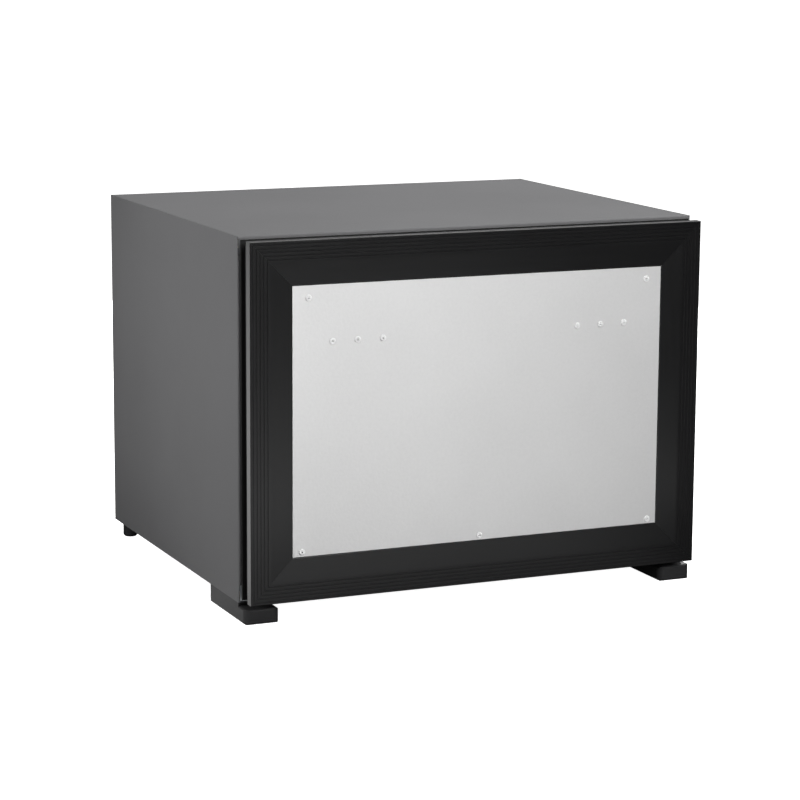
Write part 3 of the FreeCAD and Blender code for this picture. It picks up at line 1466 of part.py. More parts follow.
def capillary_tube():
    """Thin pipe from the drier into the insulation."""
    start = Vector(-PIPE_X, CONDENSER_Y, DRIER_TOP_Z - DRIER_LENGTH)
    bottom = start - Z_AXIS * CAPILLARY_DROP
    across = bottom + X_AXIS * CAPILLARY_RUN
    path = [start, bottom, across, Vector(across.x, MACHINE_Y, across.z)]
    return tube(path, CAPILLARY_RADIUS, PIPE_BEND)


def suction_tube():
    """Pipe from the insulation to the top of the compressor."""
    x = COMPRESSOR_X - SUCTION_OFFSET
    z = SHELF_Z - SUCTION_HEADROOM
    path = [
        Vector(x, COMPRESSOR_Y, SHELL_Z + SEAM_RISE),
        Vector(x, COMPRESSOR_Y, z),
        Vector(x, MACHINE_Y, z),
    ]
    return tube(path, SUCTION_RADIUS, PIPE_BEND).cut(compressor_shell())


def pieces():
    """Every piece by name; a list is a group of like solids."""
    parts = {
        "top_panel": top_panel(),
        "base_panel": base_panel(),
        "rear_panel": rear_panel(),
        "cabinet_foam": cabinet_foam(),
        "cabinet_liner": cabinet_liner(),
        "rear_feet": rear_feet(),
        "chassis_plate": chassis_plate(),
        "compressor_shell": compressor_shell(),
        "compressor_mount": compressor_mount(),
        "compressor_grommets": compressor_grommets(),
        "compressor_studs": compressor_studs(),
        "terminal_cover": terminal_cover(),
        "condenser_tube": condenser_tube(),
        "condenser_wires": condenser_wires(),
        "condenser_clips": condenser_clips(),
        "discharge_tube": discharge_tube(),
        "filter_drier": filter_drier(),
        "capillary_tube": capillary_tube(),
        "suction_tube": suction_tube(),
        "evaporator_plate": evaporator_plate(),
        "evaporator_spacers": evaporator_spacers(),
        "evaporator_screws": evaporator_screws(),
        "control_housing": control_housing(),
        "lamp_lens": lamp_lens(),
        "thermostat_body": thermostat_body(),
        "thermostat_knob": thermostat_knob(),
        "runner_screws": runner_screws(),
        "corner_keys": corner_keys(),
        "front_plate": front_plate(),
        "panel_fixings": fixings(panel_fixing_places()),
        "handle_fixings": fixings(handle_fixing_places()),
        "door_foam": door_foam(),
        "door_liner": door_liner(),
        "gasket": gasket(),
        "gasket_magnets": gasket_magnets(),
        "carriage_bar": carriage_bar(),
        "carriage_screws": carriage_screws(),
        "drawer_bin": drawer_bin(),
        "bin_dividers": bin_dividers(),
    }
    for side in ("top", "bottom", "left", "right"):
        parts["frame_" + side] = frame_bar(side)
    paired = {
        "side_panel": side_panel,
        "front_foot": front_foot,
        "runner_outer": runner_outer,
        "runner_middle": runner_middle,
        "runner_inner": runner_inner,
        "cage_outer": cage_outer,
        "cage_inner": cage_inner,
        "carriage_rail": carriage_rail,
    }
    for name, build in paired.items():
        for side, way in SIDES.items():
            parts[name + "_" + side] = build(way)
    return parts


def main():
    """Write one file per piece."""
    os.makedirs("parts", exist_ok=True)
    for name, shape in pieces().items():
        group = shape if isinstance(shape, list) else [shape]
        solids = [solid for member in group for solid in member.Solids]
        Part.Compound(solids).exportStep("parts/" + name + ".step")


main()
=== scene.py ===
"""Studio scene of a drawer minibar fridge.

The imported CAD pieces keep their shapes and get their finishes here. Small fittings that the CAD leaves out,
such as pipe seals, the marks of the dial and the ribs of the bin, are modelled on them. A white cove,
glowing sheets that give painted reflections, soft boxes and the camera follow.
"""

import logging
import math
from collections.abc import Callable
from dataclasses import dataclass, replace
from enum import Enum

import bmesh
import bpy
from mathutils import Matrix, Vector


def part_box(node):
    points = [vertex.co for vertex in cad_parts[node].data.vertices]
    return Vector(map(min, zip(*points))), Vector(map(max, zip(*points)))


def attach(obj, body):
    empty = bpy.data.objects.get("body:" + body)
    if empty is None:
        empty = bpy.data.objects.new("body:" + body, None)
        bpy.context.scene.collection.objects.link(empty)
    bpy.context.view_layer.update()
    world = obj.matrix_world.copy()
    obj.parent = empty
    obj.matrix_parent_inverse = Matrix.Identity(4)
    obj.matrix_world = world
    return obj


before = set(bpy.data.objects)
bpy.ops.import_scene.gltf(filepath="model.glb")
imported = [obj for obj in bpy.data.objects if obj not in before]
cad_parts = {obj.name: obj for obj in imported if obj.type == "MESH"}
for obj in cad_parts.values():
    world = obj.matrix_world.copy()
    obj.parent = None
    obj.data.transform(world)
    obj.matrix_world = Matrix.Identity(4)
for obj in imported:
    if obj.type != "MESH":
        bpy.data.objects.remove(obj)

Tree = bpy.types.NodeTree
Socket = bpy.types.NodeSocket
Pair = tuple[float, float]
Triple = tuple[float, float, float]

LOG = logging.getLogger("minibar")
MM = 0.001
UP = Vector((0, 0, 1))
DOWN = Vector((0, 0, -1))
BACK = Vector((0, 1, 0))
ACROSS = Vector((1, 0, 0))
# Distance under which points weld, and angle under which neighbouring faces shade as one
MERGE = 1e-6
SMOOTH_ANGLE = math.radians(35)
# Least cosine of a face that looks along a direction, strictly and roughly
FACING = 0.99
BEDDED = 0.9
# Angles beyond which an edge is bevelled, and steps of a fine and of a round bevel
SHARP_ANGLE = math.radians(30)
CORNER_ANGLE = math.radians(60)
FINE_STEPS = 2
ROUND_STEPS = 3
# The sRGB curve: top level, end of the straight part, its slope, and the offset and power beyond
TOP_LEVEL = 255
SRGB_KNEE = 0.04045
SRGB_SLOPE = 12.92
SRGB_OFFSET = 0.055
SRGB_POWER = 2.4
# Spans of the noises that are used, and how finely the noises are divided
GRAIN_SPAN = (0.25, 0.75)
TONE_SPAN = (0.3, 0.7)
GRAIN_DETAIL = 2.0
TONE_DETAIL = 3.0
STUCCO_NOISE = {"Detail": 1.0, "Roughness": 0.35, "Distortion": 0.6}
# Sockets of a colour mix, which share their names with others: share, two colours, result
MIX_SHARE = 0
MIX_BASE = 6
MIX_SECOND = 7
MIX_RESULT = 2


def linear(hex_colour: str) -> tuple[float, float, float, float]:
    """Turn an sRGB hex colour into linear light.

    Args:
        hex_colour: Colour as "#rrggbb".

    Returns:
        Red, green and blue in linear light, and an alpha of 1.
    """
    channels = [level / TOP_LEVEL for level in bytes.fromhex(hex_colour.lstrip("#"))]
    light = [
        level / SRGB_SLOPE if level <= SRGB_KNEE
        else ((level + SRGB_OFFSET) / (1 + SRGB_OFFSET)) ** SRGB_POWER
        for level in channels
    ]
    return (*light, 1.0)


def feed(node: bpy.types.Node, inputs: dict) -> None:
    """Give inputs of a node their values or links.

    Args:
        node: Node to feed.
        inputs: Value or source socket for each input, by name or number.
    """
    for key, value in inputs.items():
        if isinstance(value, Socket):
            node.id_data.links.new(value, node.inputs[key])
        else:
            node.inputs[key].default_value = value


def add_node(tree: Tree, kind: str, inputs: dict | None = None, **options: object) -> bpy.types.Node:
    """Add a node with its settings and links.

    Args:
        tree: Node tree that takes the node.
        kind: Type name of the node, without its first part.
        inputs: Value or source socket for each input, by name or number.
        **options: Properties of the node itself.

    Returns:
        The new node.
    """
    node = tree.nodes.new(f"ShaderNode{kind}")
    for name, value in options.items():
        setattr(node, name, value)
    feed(node, inputs or {})
    return node


def remap(tree: Tree, value: Socket, source: Pair, target: Pair, **options: object) -> Socket:
    """Stretch one span of values over another.

    Args:
        tree: Node tree that takes the node.
        value: Value to stretch.
        source: Ends of the span it lies in.
        target: Ends of the span it gets.
        **options: Properties of the node itself.

    Returns:
        The stretched value.
    """
    node = add_node(tree, "MapRange", {
        "Value": value, "From Min": source[0], "From Max": source[1],
        "To Min": target[0], "To Max": target[1]}, **options)
    return node.outputs["Result"]


class Grain(Enum):
    """How a surface was made, and so the pattern of its grain."""

    PEEL = "sprayed and baked"
    STUCCO = "embossed by a roll"
    MOULDED = "moulded in a textured tool"
    DRAWN = "drawn or extruded"
    SPANGLE = "dipped in zinc"
    CELLS = "foamed"


class Run(Enum):
    """Direction in which a drawn grain runs, as its stretch on each axis."""

    NONE = (1.0, 1.0, 1.0)
    ACROSS = (0.02, 1.0, 1.0)
    DEEP = (1.0, 0.02, 1.0)
    UPRIGHT = (1.0, 1.0, 0.02)


@dataclass(frozen=True)
class Finish:
    """One real surface.

    Attributes:
        name: Name of the material.
        base: Main colour.
        second: Colour that the tone and the grain drift towards.
        roughness: Least and greatest roughness over the grain.
        grain_mm: Size of one grain.
        relief_mm: Height of the grain.
        grain: How the surface was made.
        metallic: Share of metal.
        ior: Index of refraction; a metal keeps the default.
        specular: Strength of the reflection of a plastic or paint.
        tone_mm: Size of a patch of one tone.
        tone_share: Most that a patch takes of the second colour.
        grain_share: Most that a grain takes of the second colour.
        run: Direction of a drawn grain.
        transmission: Share of light that passes through.
        coat: Weight of a clear coat.
        scatter_mm: Depth to which light spreads inside; none if it is zero.
    """

    name: str
    base: str
    second: str
    roughness: Pair
    grain_mm: float
    relief_mm: float
    grain: Grain = Grain.MOULDED
    metallic: float = 0.0
    ior: float = 1.5
    specular: float = 0.5
    tone_mm: float = 90.0
    tone_share: float = 0.6
    grain_share: float = 0.2
    run: Run = Run.NONE
    transmission: float = 0.0
    coat: float = 0.0
    scatter_mm: float = 0.0

    def material(self) -> bpy.types.Material:
        """Return the material of this finish, made once."""
        return bpy.data.materials.get(self.name) or self.make()

    def make(self) -> bpy.types.Material:
        """Make the node material.

        Returns:
            The new material.
        """
        material = bpy.data.materials.new(self.name)
        material.use_nodes = True
        tree = material.node_tree
        place = add_node(tree, "TexCoord").outputs["Object"]
        grain = self.grain_height(tree, place)
        bump = add_node(tree, "Bump", {
            "Height": grain, "Strength": 1.0, "Distance": self.relief_mm * MM})
        feed(tree.nodes["Principled BSDF"], {
            "Base Color": self.colour(tree, place, grain),
            "Roughness": remap(tree, grain, GRAIN_SPAN, self.roughness),
            "Normal": bump.outputs["Normal"],
            "Metallic": self.metallic,
            "IOR": self.ior,
            "Specular IOR Level": self.specular,
            "Transmission Weight": self.transmission,
            "Coat Weight": self.coat,
            "Subsurface Weight": 1.0 if self.scatter_mm else 0.0,
            "Subsurface Scale": self.scatter_mm * MM,
            "Subsurface Radius": (1.0, 1.0, 1.0),
        })
        return material

    def grain_height(self, tree: Tree, place: Socket) -> Socket:
        """Draw the grain.

        Args:
            tree: Node tree of the material.
            place: Object coordinates.

        Returns:
            Height of the grain from 0 to 1.
        """
        scale = 1 / (self.grain_mm * MM)
        if self.grain is Grain.SPANGLE:
            cells = add_node(tree, "TexVoronoi", {"Vector": place, "Scale": scale})
            return cells.outputs["Color"]
        if self.grain is Grain.CELLS:
            cells = add_node(tree, "TexVoronoi", {"Vector": place, "Scale": scale}, feature="SMOOTH_F1")
            return cells.outputs["Distance"]
        if self.grain is Grain.STUCCO:
            worms = add_node(tree, "TexNoise", {"Vector": place, "Scale": scale, **STUCCO_NOISE})
            return worms.outputs[0]
        turned = add_node(tree, "Mapping", {"Vector": place, "Scale": self.run.value})
        noise = add_node(tree, "TexNoise", {
            "Vector": turned.outputs["Vector"], "Scale": scale, "Detail": GRAIN_DETAIL})
        return noise.outputs[0]

    def colour(self, tree: Tree, place: Socket, grain: Socket) -> Socket:
        """Mix the two colours by patches of tone and by the grain.

        Args:
            tree: Node tree of the material.
            place: Object coordinates.
            grain: Height of the grain.

        Returns:
            Colour of the surface.
        """
        patches = add_node(tree, "TexNoise", {
            "Vector": place, "Scale": 1 / (self.tone_mm * MM), "Detail": TONE_DETAIL})
        tone = remap(tree, patches.outputs[0], TONE_SPAN, (0.0, self.tone_share))
        share = add_node(
            tree, "Math", {0: grain, 1: self.grain_share, 2: tone},
            operation="MULTIPLY_ADD", use_clamp=True)
        mixed = add_node(tree, "Mix", {
            MIX_SHARE: share.outputs[0], MIX_BASE: linear(self.base), MIX_SECOND: linear(self.second),
        }, data_type="RGBA")
        return mixed.outputs[MIX_RESULT]

    def coat_nodes(self, *names: str) -> None:
        """Give this finish to CAD nodes.

        Args:
            *names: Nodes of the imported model.
        """
        for name in names:
            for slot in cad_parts[name].material_slots:
                slot.material = self.material()
            LOG.info("%s: %s", name, self.name)


# Polyester paint, rolled on steel coil and baked: even satin grey with a faint orange peel
CABINET_PAINT = Finish(
    "satin_polyester_paint", base="#6a6a6b", second="#646465", roughness=(0.52, 0.60), grain=Grain.PEEL,
    grain_mm=1.6, relief_mm=0.015, specular=0.04, tone_mm=160)
# Rigid vinyl pulled through a die: deep black, silky, with faint streaks along the bar
FRAME_ACROSS = Finish(
    "extruded_black_vinyl_across", base="#0f0f10", second="#131314", roughness=(0.28, 0.33),
    grain=Grain.DRAWN, grain_mm=1.5, relief_mm=0.004, run=Run.ACROSS, specular=0.4)
FRAME_UPRIGHT = replace(FRAME_ACROSS, name="extruded_black_vinyl_upright", run=Run.UPRIGHT)
# Aluminium sheet embossed by a stucco roll: pale grey with fine worm-like bumps that break up the light
STUCCO_ALUMINIUM = Finish(
    "stucco_embossed_aluminium", base="#dfdfdf", second="#d6d6d6", roughness=(0.50, 0.60),
    grain=Grain.STUCCO, grain_mm=3.4, relief_mm=0.14, metallic=0.6, tone_mm=120, tone_share=0.4)
# White polyamide moulding: bright and slightly waxy, because light spreads inside it
WHITE_NYLON = Finish(
    "moulded_white_nylon", base="#fbfbfb", second="#f4f4f4", roughness=(0.35, 0.45), grain_mm=0.8,
    relief_mm=0.01, ior=1.53, tone_mm=8, scatter_mm=1.5)
# Polypropylene foot from a textured tool: dull black
FOOT_PLASTIC = Finish(
    "moulded_black_polypropylene", base="#262627", second="#2d2d2e", roughness=(0.50, 0.60), grain_mm=1.2,
    relief_mm=0.02, ior=1.49, specular=0.2, tone_mm=40)
# Butyl sealant pressed into a corner: black, tacky, softly lumpy
BUTYL = Finish(
    "black_butyl_sealant", base="#101010", second="#181817", roughness=(0.40, 0.55), grain_mm=3.0,
    relief_mm=0.05, ior=1.51, tone_mm=10)
# Soft thermoplastic seal: dead black with a slight bloom
GASKET_RUBBER = Finish(
    "soft_black_gasket", base="#0c0c0c", second="#141414", roughness=(0.65, 0.80), grain_mm=1.0,
    relief_mm=0.01, ior=1.52, specular=0.3, tone_mm=60)
# Ferrite in rubber: dark brown grey, matt
MAGNET_STRIP = Finish(
    "ferrite_rubber_strip", base="#2b2625", second="#332d2b", roughness=(0.70, 0.85), grain_mm=0.9,
    relief_mm=0.01, tone_mm=30)
# Zinc-coated sheet: cool grey with crystals of slightly different tone
GALVANISED = Finish(
    "galvanised_sheet_steel", base="#b3b7b9", second="#9ba0a3", roughness=(0.32, 0.52), grain=Grain.SPANGLE,
    grain_mm=9.0, relief_mm=0.004, metallic=1.0, tone_share=0.3, grain_share=0.6)
# Die-cast zinc: grey, grainy
CAST_ZINC = Finish(
    "die_cast_zinc", base="#a5a7a8", second="#8f9193", roughness=(0.45, 0.60), grain_mm=1.4, relief_mm=0.03,
    metallic=1.0, tone_mm=20)
# Polyurethane foam: cream, with fine cells
FOAM = Finish(
    "rigid_polyurethane_foam", base="#e6d9ae", second="#d2bf86", roughness=(0.80, 0.95), grain=Grain.CELLS,
    grain_mm=2.2, relief_mm=0.25, tone_mm=45, grain_share=0.5)
# Vacuum-formed polystyrene: clean white with a soft gloss
LINER = Finish(
    "vacuum_formed_polystyrene", base="#eeeeed", second="#e7e7e6", roughness=(0.28, 0.36), grain=Grain.PEEL,
    grain_mm=8.0, relief_mm=0.006, ior=1.59, tone_mm=180)
# Steel strip with bright zinc plating, rolled into a channel: streaks along its length
RUNNER_STEEL = Finish(
    "zinc_plated_strip", base="#c3c6c9", second="#b4b7ba", roughness=(0.30, 0.38), grain=Grain.DRAWN,
    grain_mm=0.9, relief_mm=0.002, metallic=0.75, run=Run.DEEP, tone_mm=60)
# Bright steel strip, stamped and drawn: fine streaks, a cold shine
CAGE_STEEL = Finish(
    "stamped_bright_steel", base="#a2a4a7", second="#8d8f92", roughness=(0.25, 0.40), grain=Grain.DRAWN,
    grain_mm=0.8, relief_mm=0.005, metallic=1.0, run=Run.DEEP, tone_mm=25)
# Zinc plating on small screws: bright with a bluish tint
SCREW_STEEL = Finish(
    "zinc_plated_screw", base="#b5bac0", second="#9aa0a8", roughness=(0.25, 0.42), grain_mm=0.7,
    relief_mm=0.008, metallic=1.0, tone_mm=6)
# White powder coat: slightly pebbled
CARRIAGE_PAINT = Finish(
    "white_powder_coat", base="#e2e2df", second="#d9d9d5", roughness=(0.38, 0.52), grain=Grain.PEEL,
    grain_mm=1.4, relief_mm=0.03, tone_mm=80)
# Moulded polystyrene bin: cool light grey, glossy
BIN_PLASTIC = Finish(
    "moulded_light_grey_styrene", base="#d3d9dc", second="#c8ced2", roughness=(0.26, 0.34),
    grain=Grain.PEEL, grain_mm=6.0, relief_mm=0.004, ior=1.59, tone_mm=120)
# Roll-bonded aluminium: bright matt sheet with rolling streaks
EVAPORATOR = Finish(
    "roll_bonded_aluminium", base="#d2d4d6", second="#bfc2c4", roughness=(0.30, 0.46), grain=Grain.DRAWN,
    grain_mm=1.1, relief_mm=0.01, metallic=1.0, run=Run.ACROSS, tone_mm=50)
# Polyamide left in its own colour: ivory, slightly dull
SPACER = Finish(
    "moulded_natural_polyamide", base="#dedcd2", second="#d2d0c5", roughness=(0.40, 0.55), grain_mm=0.9,
    relief_mm=0.01, ior=1.53, tone_mm=10)
# White moulded cover: satin from a finely eroded tool
CONTROL_PLASTIC = Finish(
    "moulded_white_styrene", base="#e6e6e2", second="#dededa", roughness=(0.30, 0.44), grain_mm=1.1,
    relief_mm=0.012, ior=1.55, tone_mm=40)
# Acrylic lens frosted on its inside: milky, so that the diodes behind it blur
LENS = Finish(
    "frosted_acrylic", base="#f2f5f6", second="#e9eef0", roughness=(0.28, 0.36), grain=Grain.PEEL,
    grain_mm=2.5, relief_mm=0.01, ior=1.49, transmission=0.5, tone_mm=20)
# Phenolic moulding: nearly black, dull from its filler
THERMOSTAT_PLASTIC = Finish(
    "moulded_black_phenolic", base="#1b1b1b", second="#242424", roughness=(0.40, 0.55), grain_mm=1.0,
    relief_mm=0.015, ior=1.55, tone_mm=15)
# Moulded grey styrene with an eroded surface: even, satin
KNOB_PLASTIC = Finish(
    "moulded_grey_knob", base="#6c7073", second="#62666a", roughness=(0.36, 0.50), grain_mm=0.9,
    relief_mm=0.012, tone_mm=12)
# White pad-printing ink: thin and opaque, a little chalky
MARK_INK = Finish(
    "white_pad_print", base="#f2f2f0", second="#e6e6e4", roughness=(0.45, 0.55), grain_mm=0.8,
    relief_mm=0.003, tone_mm=6)
# Raised marks rolled with grey ink: flat dark grey
DIAL_INK = Finish(
    "grey_raised_mark", base="#5a5e61", second="#52565a", roughness=(0.45, 0.55), grain_mm=0.8,
    relief_mm=0.003, tone_mm=6)
# Black enamel, dipped and stoved: glossy with slight runs
COMPRESSOR_PAINT = Finish(
    "black_stoving_enamel", base="#121213", second="#1b1b1c", roughness=(0.20, 0.32), grain=Grain.PEEL,
    grain_mm=4.0, relief_mm=0.008, tone_mm=45, coat=0.2)
# Black enamel, dipped: thinner and duller than the compressor's
CONDENSER_PAINT = Finish(
    "black_dipped_enamel", base="#17171a", second="#202022", roughness=(0.30, 0.48), grain=Grain.PEEL,
    grain_mm=1.6, relief_mm=0.02, tone_mm=35)
# Moulded rubber: soft black that swallows the light
GROMMET_RUBBER = Finish(
    "moulded_black_rubber", base="#191918", second="#21211f", roughness=(0.70, 0.85), grain_mm=0.9,
    relief_mm=0.02, ior=1.52, specular=0.3, tone_mm=12)
# Drawn copper: warm, streaked, a little tarnished
COPPER = Finish(
    "drawn_copper", base="#c98a63", second="#9c6242", roughness=(0.24, 0.44), grain=Grain.DRAWN,
    grain_mm=1.0, relief_mm=0.006, metallic=1.0, run=Run.UPRIGHT, tone_mm=22)
# Brazing alloy over copper: pale brass with a scaly skin
SILVER_SOLDER = Finish(
    "brazed_joint", base="#c7a787", second="#a7835f", roughness=(0.30, 0.50), grain_mm=1.2, relief_mm=0.03,
    metallic=1.0, tone_mm=5)
# Glass-fibre board with a white mask: satin white
BOARD = Finish(
    "white_circuit_board", base="#e9ebea", second="#dfe2e1", roughness=(0.35, 0.50), grain_mm=0.9,
    relief_mm=0.004, tone_mm=10)
# Phosphor in silicone: opaque warm yellow, glossy
DIODE = Finish(
    "yellow_phosphor_gel", base="#ecd98a", second="#e0c566", roughness=(0.25, 0.35), grain_mm=0.8,
    relief_mm=0.004, tone_mm=3)


class Workpiece:
    """A new mesh that goes from a primitive to a fitted piece under hand tools."""

    def __init__(self, name: str) -> None:
        """Take the primitive that was just added, put its place in its mesh and open it.

        Args:
            name: Name of the piece.
        """
        bpy.ops.object.transform_apply(location=True, rotation=True, scale=True)
        self.object = bpy.context.active_object
        self.object.name = name
        bpy.ops.object.mode_set(mode="EDIT")

    @classmethod
    def rod(
        cls, name: str, start: Vector, way: Vector, radius: float, length: float, sides: int,
    ) -> "Workpiece":
        """Start from a round bar.

        Args:
            name: Name of the piece.
            start: Middle of its first end.
            way: Direction from its first end to its last.
            radius: Radius of the bar.
            length: Length of the bar.
            sides: Number of flat sides.

        Returns:
            The open piece.
        """
        bpy.ops.object.select_all(action="DESELECT")
        turn = UP.rotation_difference(way).to_euler()
        bpy.ops.mesh.primitive_cylinder_add(
            vertices=sides, radius=radius, depth=length, location=start + way * (length / 2), rotation=turn)
        return cls(name)

    @classmethod
    def block(cls, name: str, low: Vector, high: Vector) -> "Workpiece":
        """Start from a box between two corners.

        Args:
            name: Name of the piece.
            low: Lowest corner.
            high: Highest corner.

        Returns:
            The open piece.
        """
        bpy.ops.object.select_all(action="DESELECT")
        bpy.ops.mesh.primitive_cube_add(size=1, location=(low + high) / 2, scale=high - low)
        return cls(name)

    @classmethod
    def raised_bar(
        cls, name: str, low: Vector, high: Vector, way: Vector, taper: Pair, width: float,
    ) -> "Workpiece":
        """Model a low bar that lies on another piece, with a narrower free face and bevelled edges.

        Args:
            name: Name of the piece.
            low: Lowest corner.
            high: Highest corner.
            way: Direction that its free face looks in.
            taper: Scale of the free face across and along.
            width: Width of the bevel.

        Returns:
            The open piece.
        """
        bar = cls.block(name, low, high)
        bar.pick_ends(way)
        bpy.ops.transform.resize(value=(*taper, 1.0), center_override=(low + high) / 2)
        bar.pick("EDGE", lambda edge: all(face.normal.dot(way) > -BEDDED for face in edge.link_faces))
        bpy.ops.mesh.bevel(offset=width, segments=FINE_STEPS, affect="EDGES")
        return bar

    def pick(self, kind: str, wanted: Callable[[bmesh.types.BMFace | bmesh.types.BMEdge], bool]) -> None:
        """Select the faces or the edges that pass a test.

        Args:
            kind: FACE or EDGE.
            wanted: Test of one face or edge.
        """
        bpy.ops.mesh.select_mode(type=kind)
        bpy.ops.mesh.select_all(action="DESELECT")
        mesh = bmesh.from_edit_mesh(self.object.data)
        for part in mesh.faces if kind == "FACE" else mesh.edges:
            part.select_set(wanted(part))
        bmesh.update_edit_mesh(self.object.data)

    def pick_ends(self, way: Vector, both: bool = False) -> None:
        """Select the end faces that look along a direction.

        Args:
            way: Direction that the wanted end looks in.
            both: Whether the opposite end is selected too.
        """
        self.pick(
            "FACE", lambda face: (abs(face.normal.dot(way)) if both else face.normal.dot(way)) > FACING)

    def grow(self, way: Vector, scale: Triple = (1.0, 1.0, 1.0)) -> None:
        """Extrude the selected face and scale its new end about its own middle.

        Args:
            way: Travel of the new end.
            scale: Scale of the new end on each axis.
        """
        bpy.ops.mesh.extrude_region_move(TRANSFORM_OT_translate={"value": way})
        mesh = bmesh.from_edit_mesh(self.object.data)
        chosen = [vertex.co for vertex in mesh.verts if vertex.select]
        middle = sum(chosen, Vector()) / len(chosen)
        bpy.ops.transform.resize(value=scale, center_override=middle)

    def hollow(self, way: Vector, wall: float) -> None:
        """Open a bore between the two ends.

        Args:
            way: Direction of the bore.
            wall: Thickness of the wall that stays.
        """
        self.pick_ends(way, both=True)
        bpy.ops.mesh.inset(thickness=wall, use_individual=True)
        bpy.ops.mesh.bridge_edge_loops()

    def soften(self, width: float, segments: int, sharper_than: float = SHARP_ANGLE) -> None:
        """Bevel every edge that is sharper than an angle.

        Args:
            width: Width of the bevel.
            segments: Number of steps in the bevel.
            sharper_than: Least angle between the faces of a bevelled edge.
        """
        self.pick(
            "EDGE", lambda edge: len(edge.link_faces) == 2 and edge.calc_face_angle() > sharper_than)
        bpy.ops.mesh.bevel(offset=width, segments=segments, affect="EDGES")

    def fit(self, body: str, slot: str, finish: Finish) -> bpy.types.Object:
        """Close the piece, give it its finish and fix it to a body.

        Args:
            body: CAD body that it moves with.
            slot: Material slot of the record; not used.
            finish: Finish of its surface.

        Returns:
            The finished object.
        """
        bpy.ops.mesh.select_all(action="SELECT")
        bpy.ops.mesh.remove_doubles(threshold=MERGE)
        bpy.ops.mesh.normals_make_consistent(inside=False)
        bpy.ops.object.mode_set(mode="OBJECT")
        bpy.ops.object.shade_smooth_by_angle(angle=SMOOTH_ANGLE)
        self.object.data.materials.append(finish.material())
        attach(self.object, body)
        LOG.info("%s on %s: %s", self.object.name, body, finish.name)
        return self.object


def repeat(
    source: bpy.types.Object, name: str, move: Vector, turn: float = 0.0, centre: Vector = Vector(),
) -> None:
    """Copy a finished piece, with a mesh of its own, to another place on the same body.

    Args:
        source: Piece to copy.
        name: Name of the copy.
        move: Travel of the copy.
        turn: Angle about the upright axis.
        centre: Point that the copy turns about.
    """
    bpy.ops.object.select_all(action="DESELECT")
    bpy.context.view_layer.objects.active = source
    source.select_set(True)
    bpy.ops.object.duplicate(linked=False)
    bpy.ops.transform.translate(value=move)
    bpy.ops.transform.rotate(value=turn, orient_axis="Z", center_override=centre)
    bpy.ops.object.transform_apply(location=True, rotation=True, scale=True)
    bpy.context.active_object.name = name
    LOG.info("%s, a copy of %s", name, source.name)


@dataclass
class Cabinet:
    """Painted steel cabinet, its insulation, liner and feet.

    Attributes:
        sheet: Thickness of the painted sheets.
        flange: Height of the front flanges of the top and base sheets.
        seal_size: Width, depth and height of the sealant behind a flange's end.
        seal_gap: Room between the sealant and the sheets.
        seal_inset: Inset of the sealant's ends, as a share of its depth.
        seal_swell: Stretch of its ends along its height.
        seal_round: Bevel of its edges, as a share of its depth.
    """

    sheet: float = 1.0 * MM
    flange: float = 20.0 * MM
    seal_size: Vector = Vector((3.4, 2.6, 12.0)) * MM
    seal_gap: float = 0.3 * MM
    seal_inset: float = 1 / 6
    seal_swell: float = 1.2
    seal_round: float = 1 / 4

    def build(self) -> None:
        """Model the sealant that closes the slits at the ends of the front flanges."""
        low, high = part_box("side_panel_left")
        size = self.seal_size
        inset = self.sheet + self.seal_gap
        start = Vector((low.x + inset, low.y + inset, high.z - self.flange - size.z / 2))
        seal = Workpiece.block("corner_seal_1", start, start + size)
        seal.pick_ends(UP, both=True)
        bpy.ops.mesh.inset(thickness=size.y * self.seal_inset, use_individual=True)
        bpy.ops.transform.resize(value=(1.0, 1.0, self.seal_swell), center_override=start + size / 2)
        seal.soften(size.y * self.seal_round, ROUND_STEPS, CORNER_ANGLE)
        first = seal.fit("cabinet", "gasket_rubber", BUTYL)
        across = Vector((-2 * start.x - size.x, 0, 0))
        down = Vector((0, 0, low.z + self.flange - size.z / 2 - start.z))
        for index, travel in enumerate((across, down, across + down), start=2):
            repeat(first, f"corner_seal_{index}", travel)

    def dress(self) -> None:
        """Give each piece its finish."""
        CABINET_PAINT.coat_nodes("side_panel_left", "side_panel_right", "top_panel")
        GALVANISED.coat_nodes("base_panel", "rear_panel", "chassis_plate", "compressor_mount")
        FOAM.coat_nodes("cabinet_foam")
        LINER.coat_nodes("cabinet_liner")
        FOOT_PLASTIC.coat_nodes("front_foot_left", "front_foot_right", "rear_feet")


@dataclass
class DrawerFront:
    """Mitred frame round the bare plate, with its fixings, seal and inner skin."""

    def dress(self) -> None:
        """Give each piece its finish."""
        FRAME_ACROSS.coat_nodes("frame_top", "frame_bottom")
        FRAME_UPRIGHT.coat_nodes("frame_left", "frame_right")
        CAST_ZINC.coat_nodes("corner_keys")
        STUCCO_ALUMINIUM.coat_nodes("front_plate")
        WHITE_NYLON.coat_nodes("panel_fixings", "handle_fixings")
        GASKET_RUBBER.coat_nodes("gasket")
        MAGNET_STRIP.coat_nodes("gasket_magnets")
        FOAM.coat_nodes("door_foam")
        LINER.coat_nodes("door_liner")


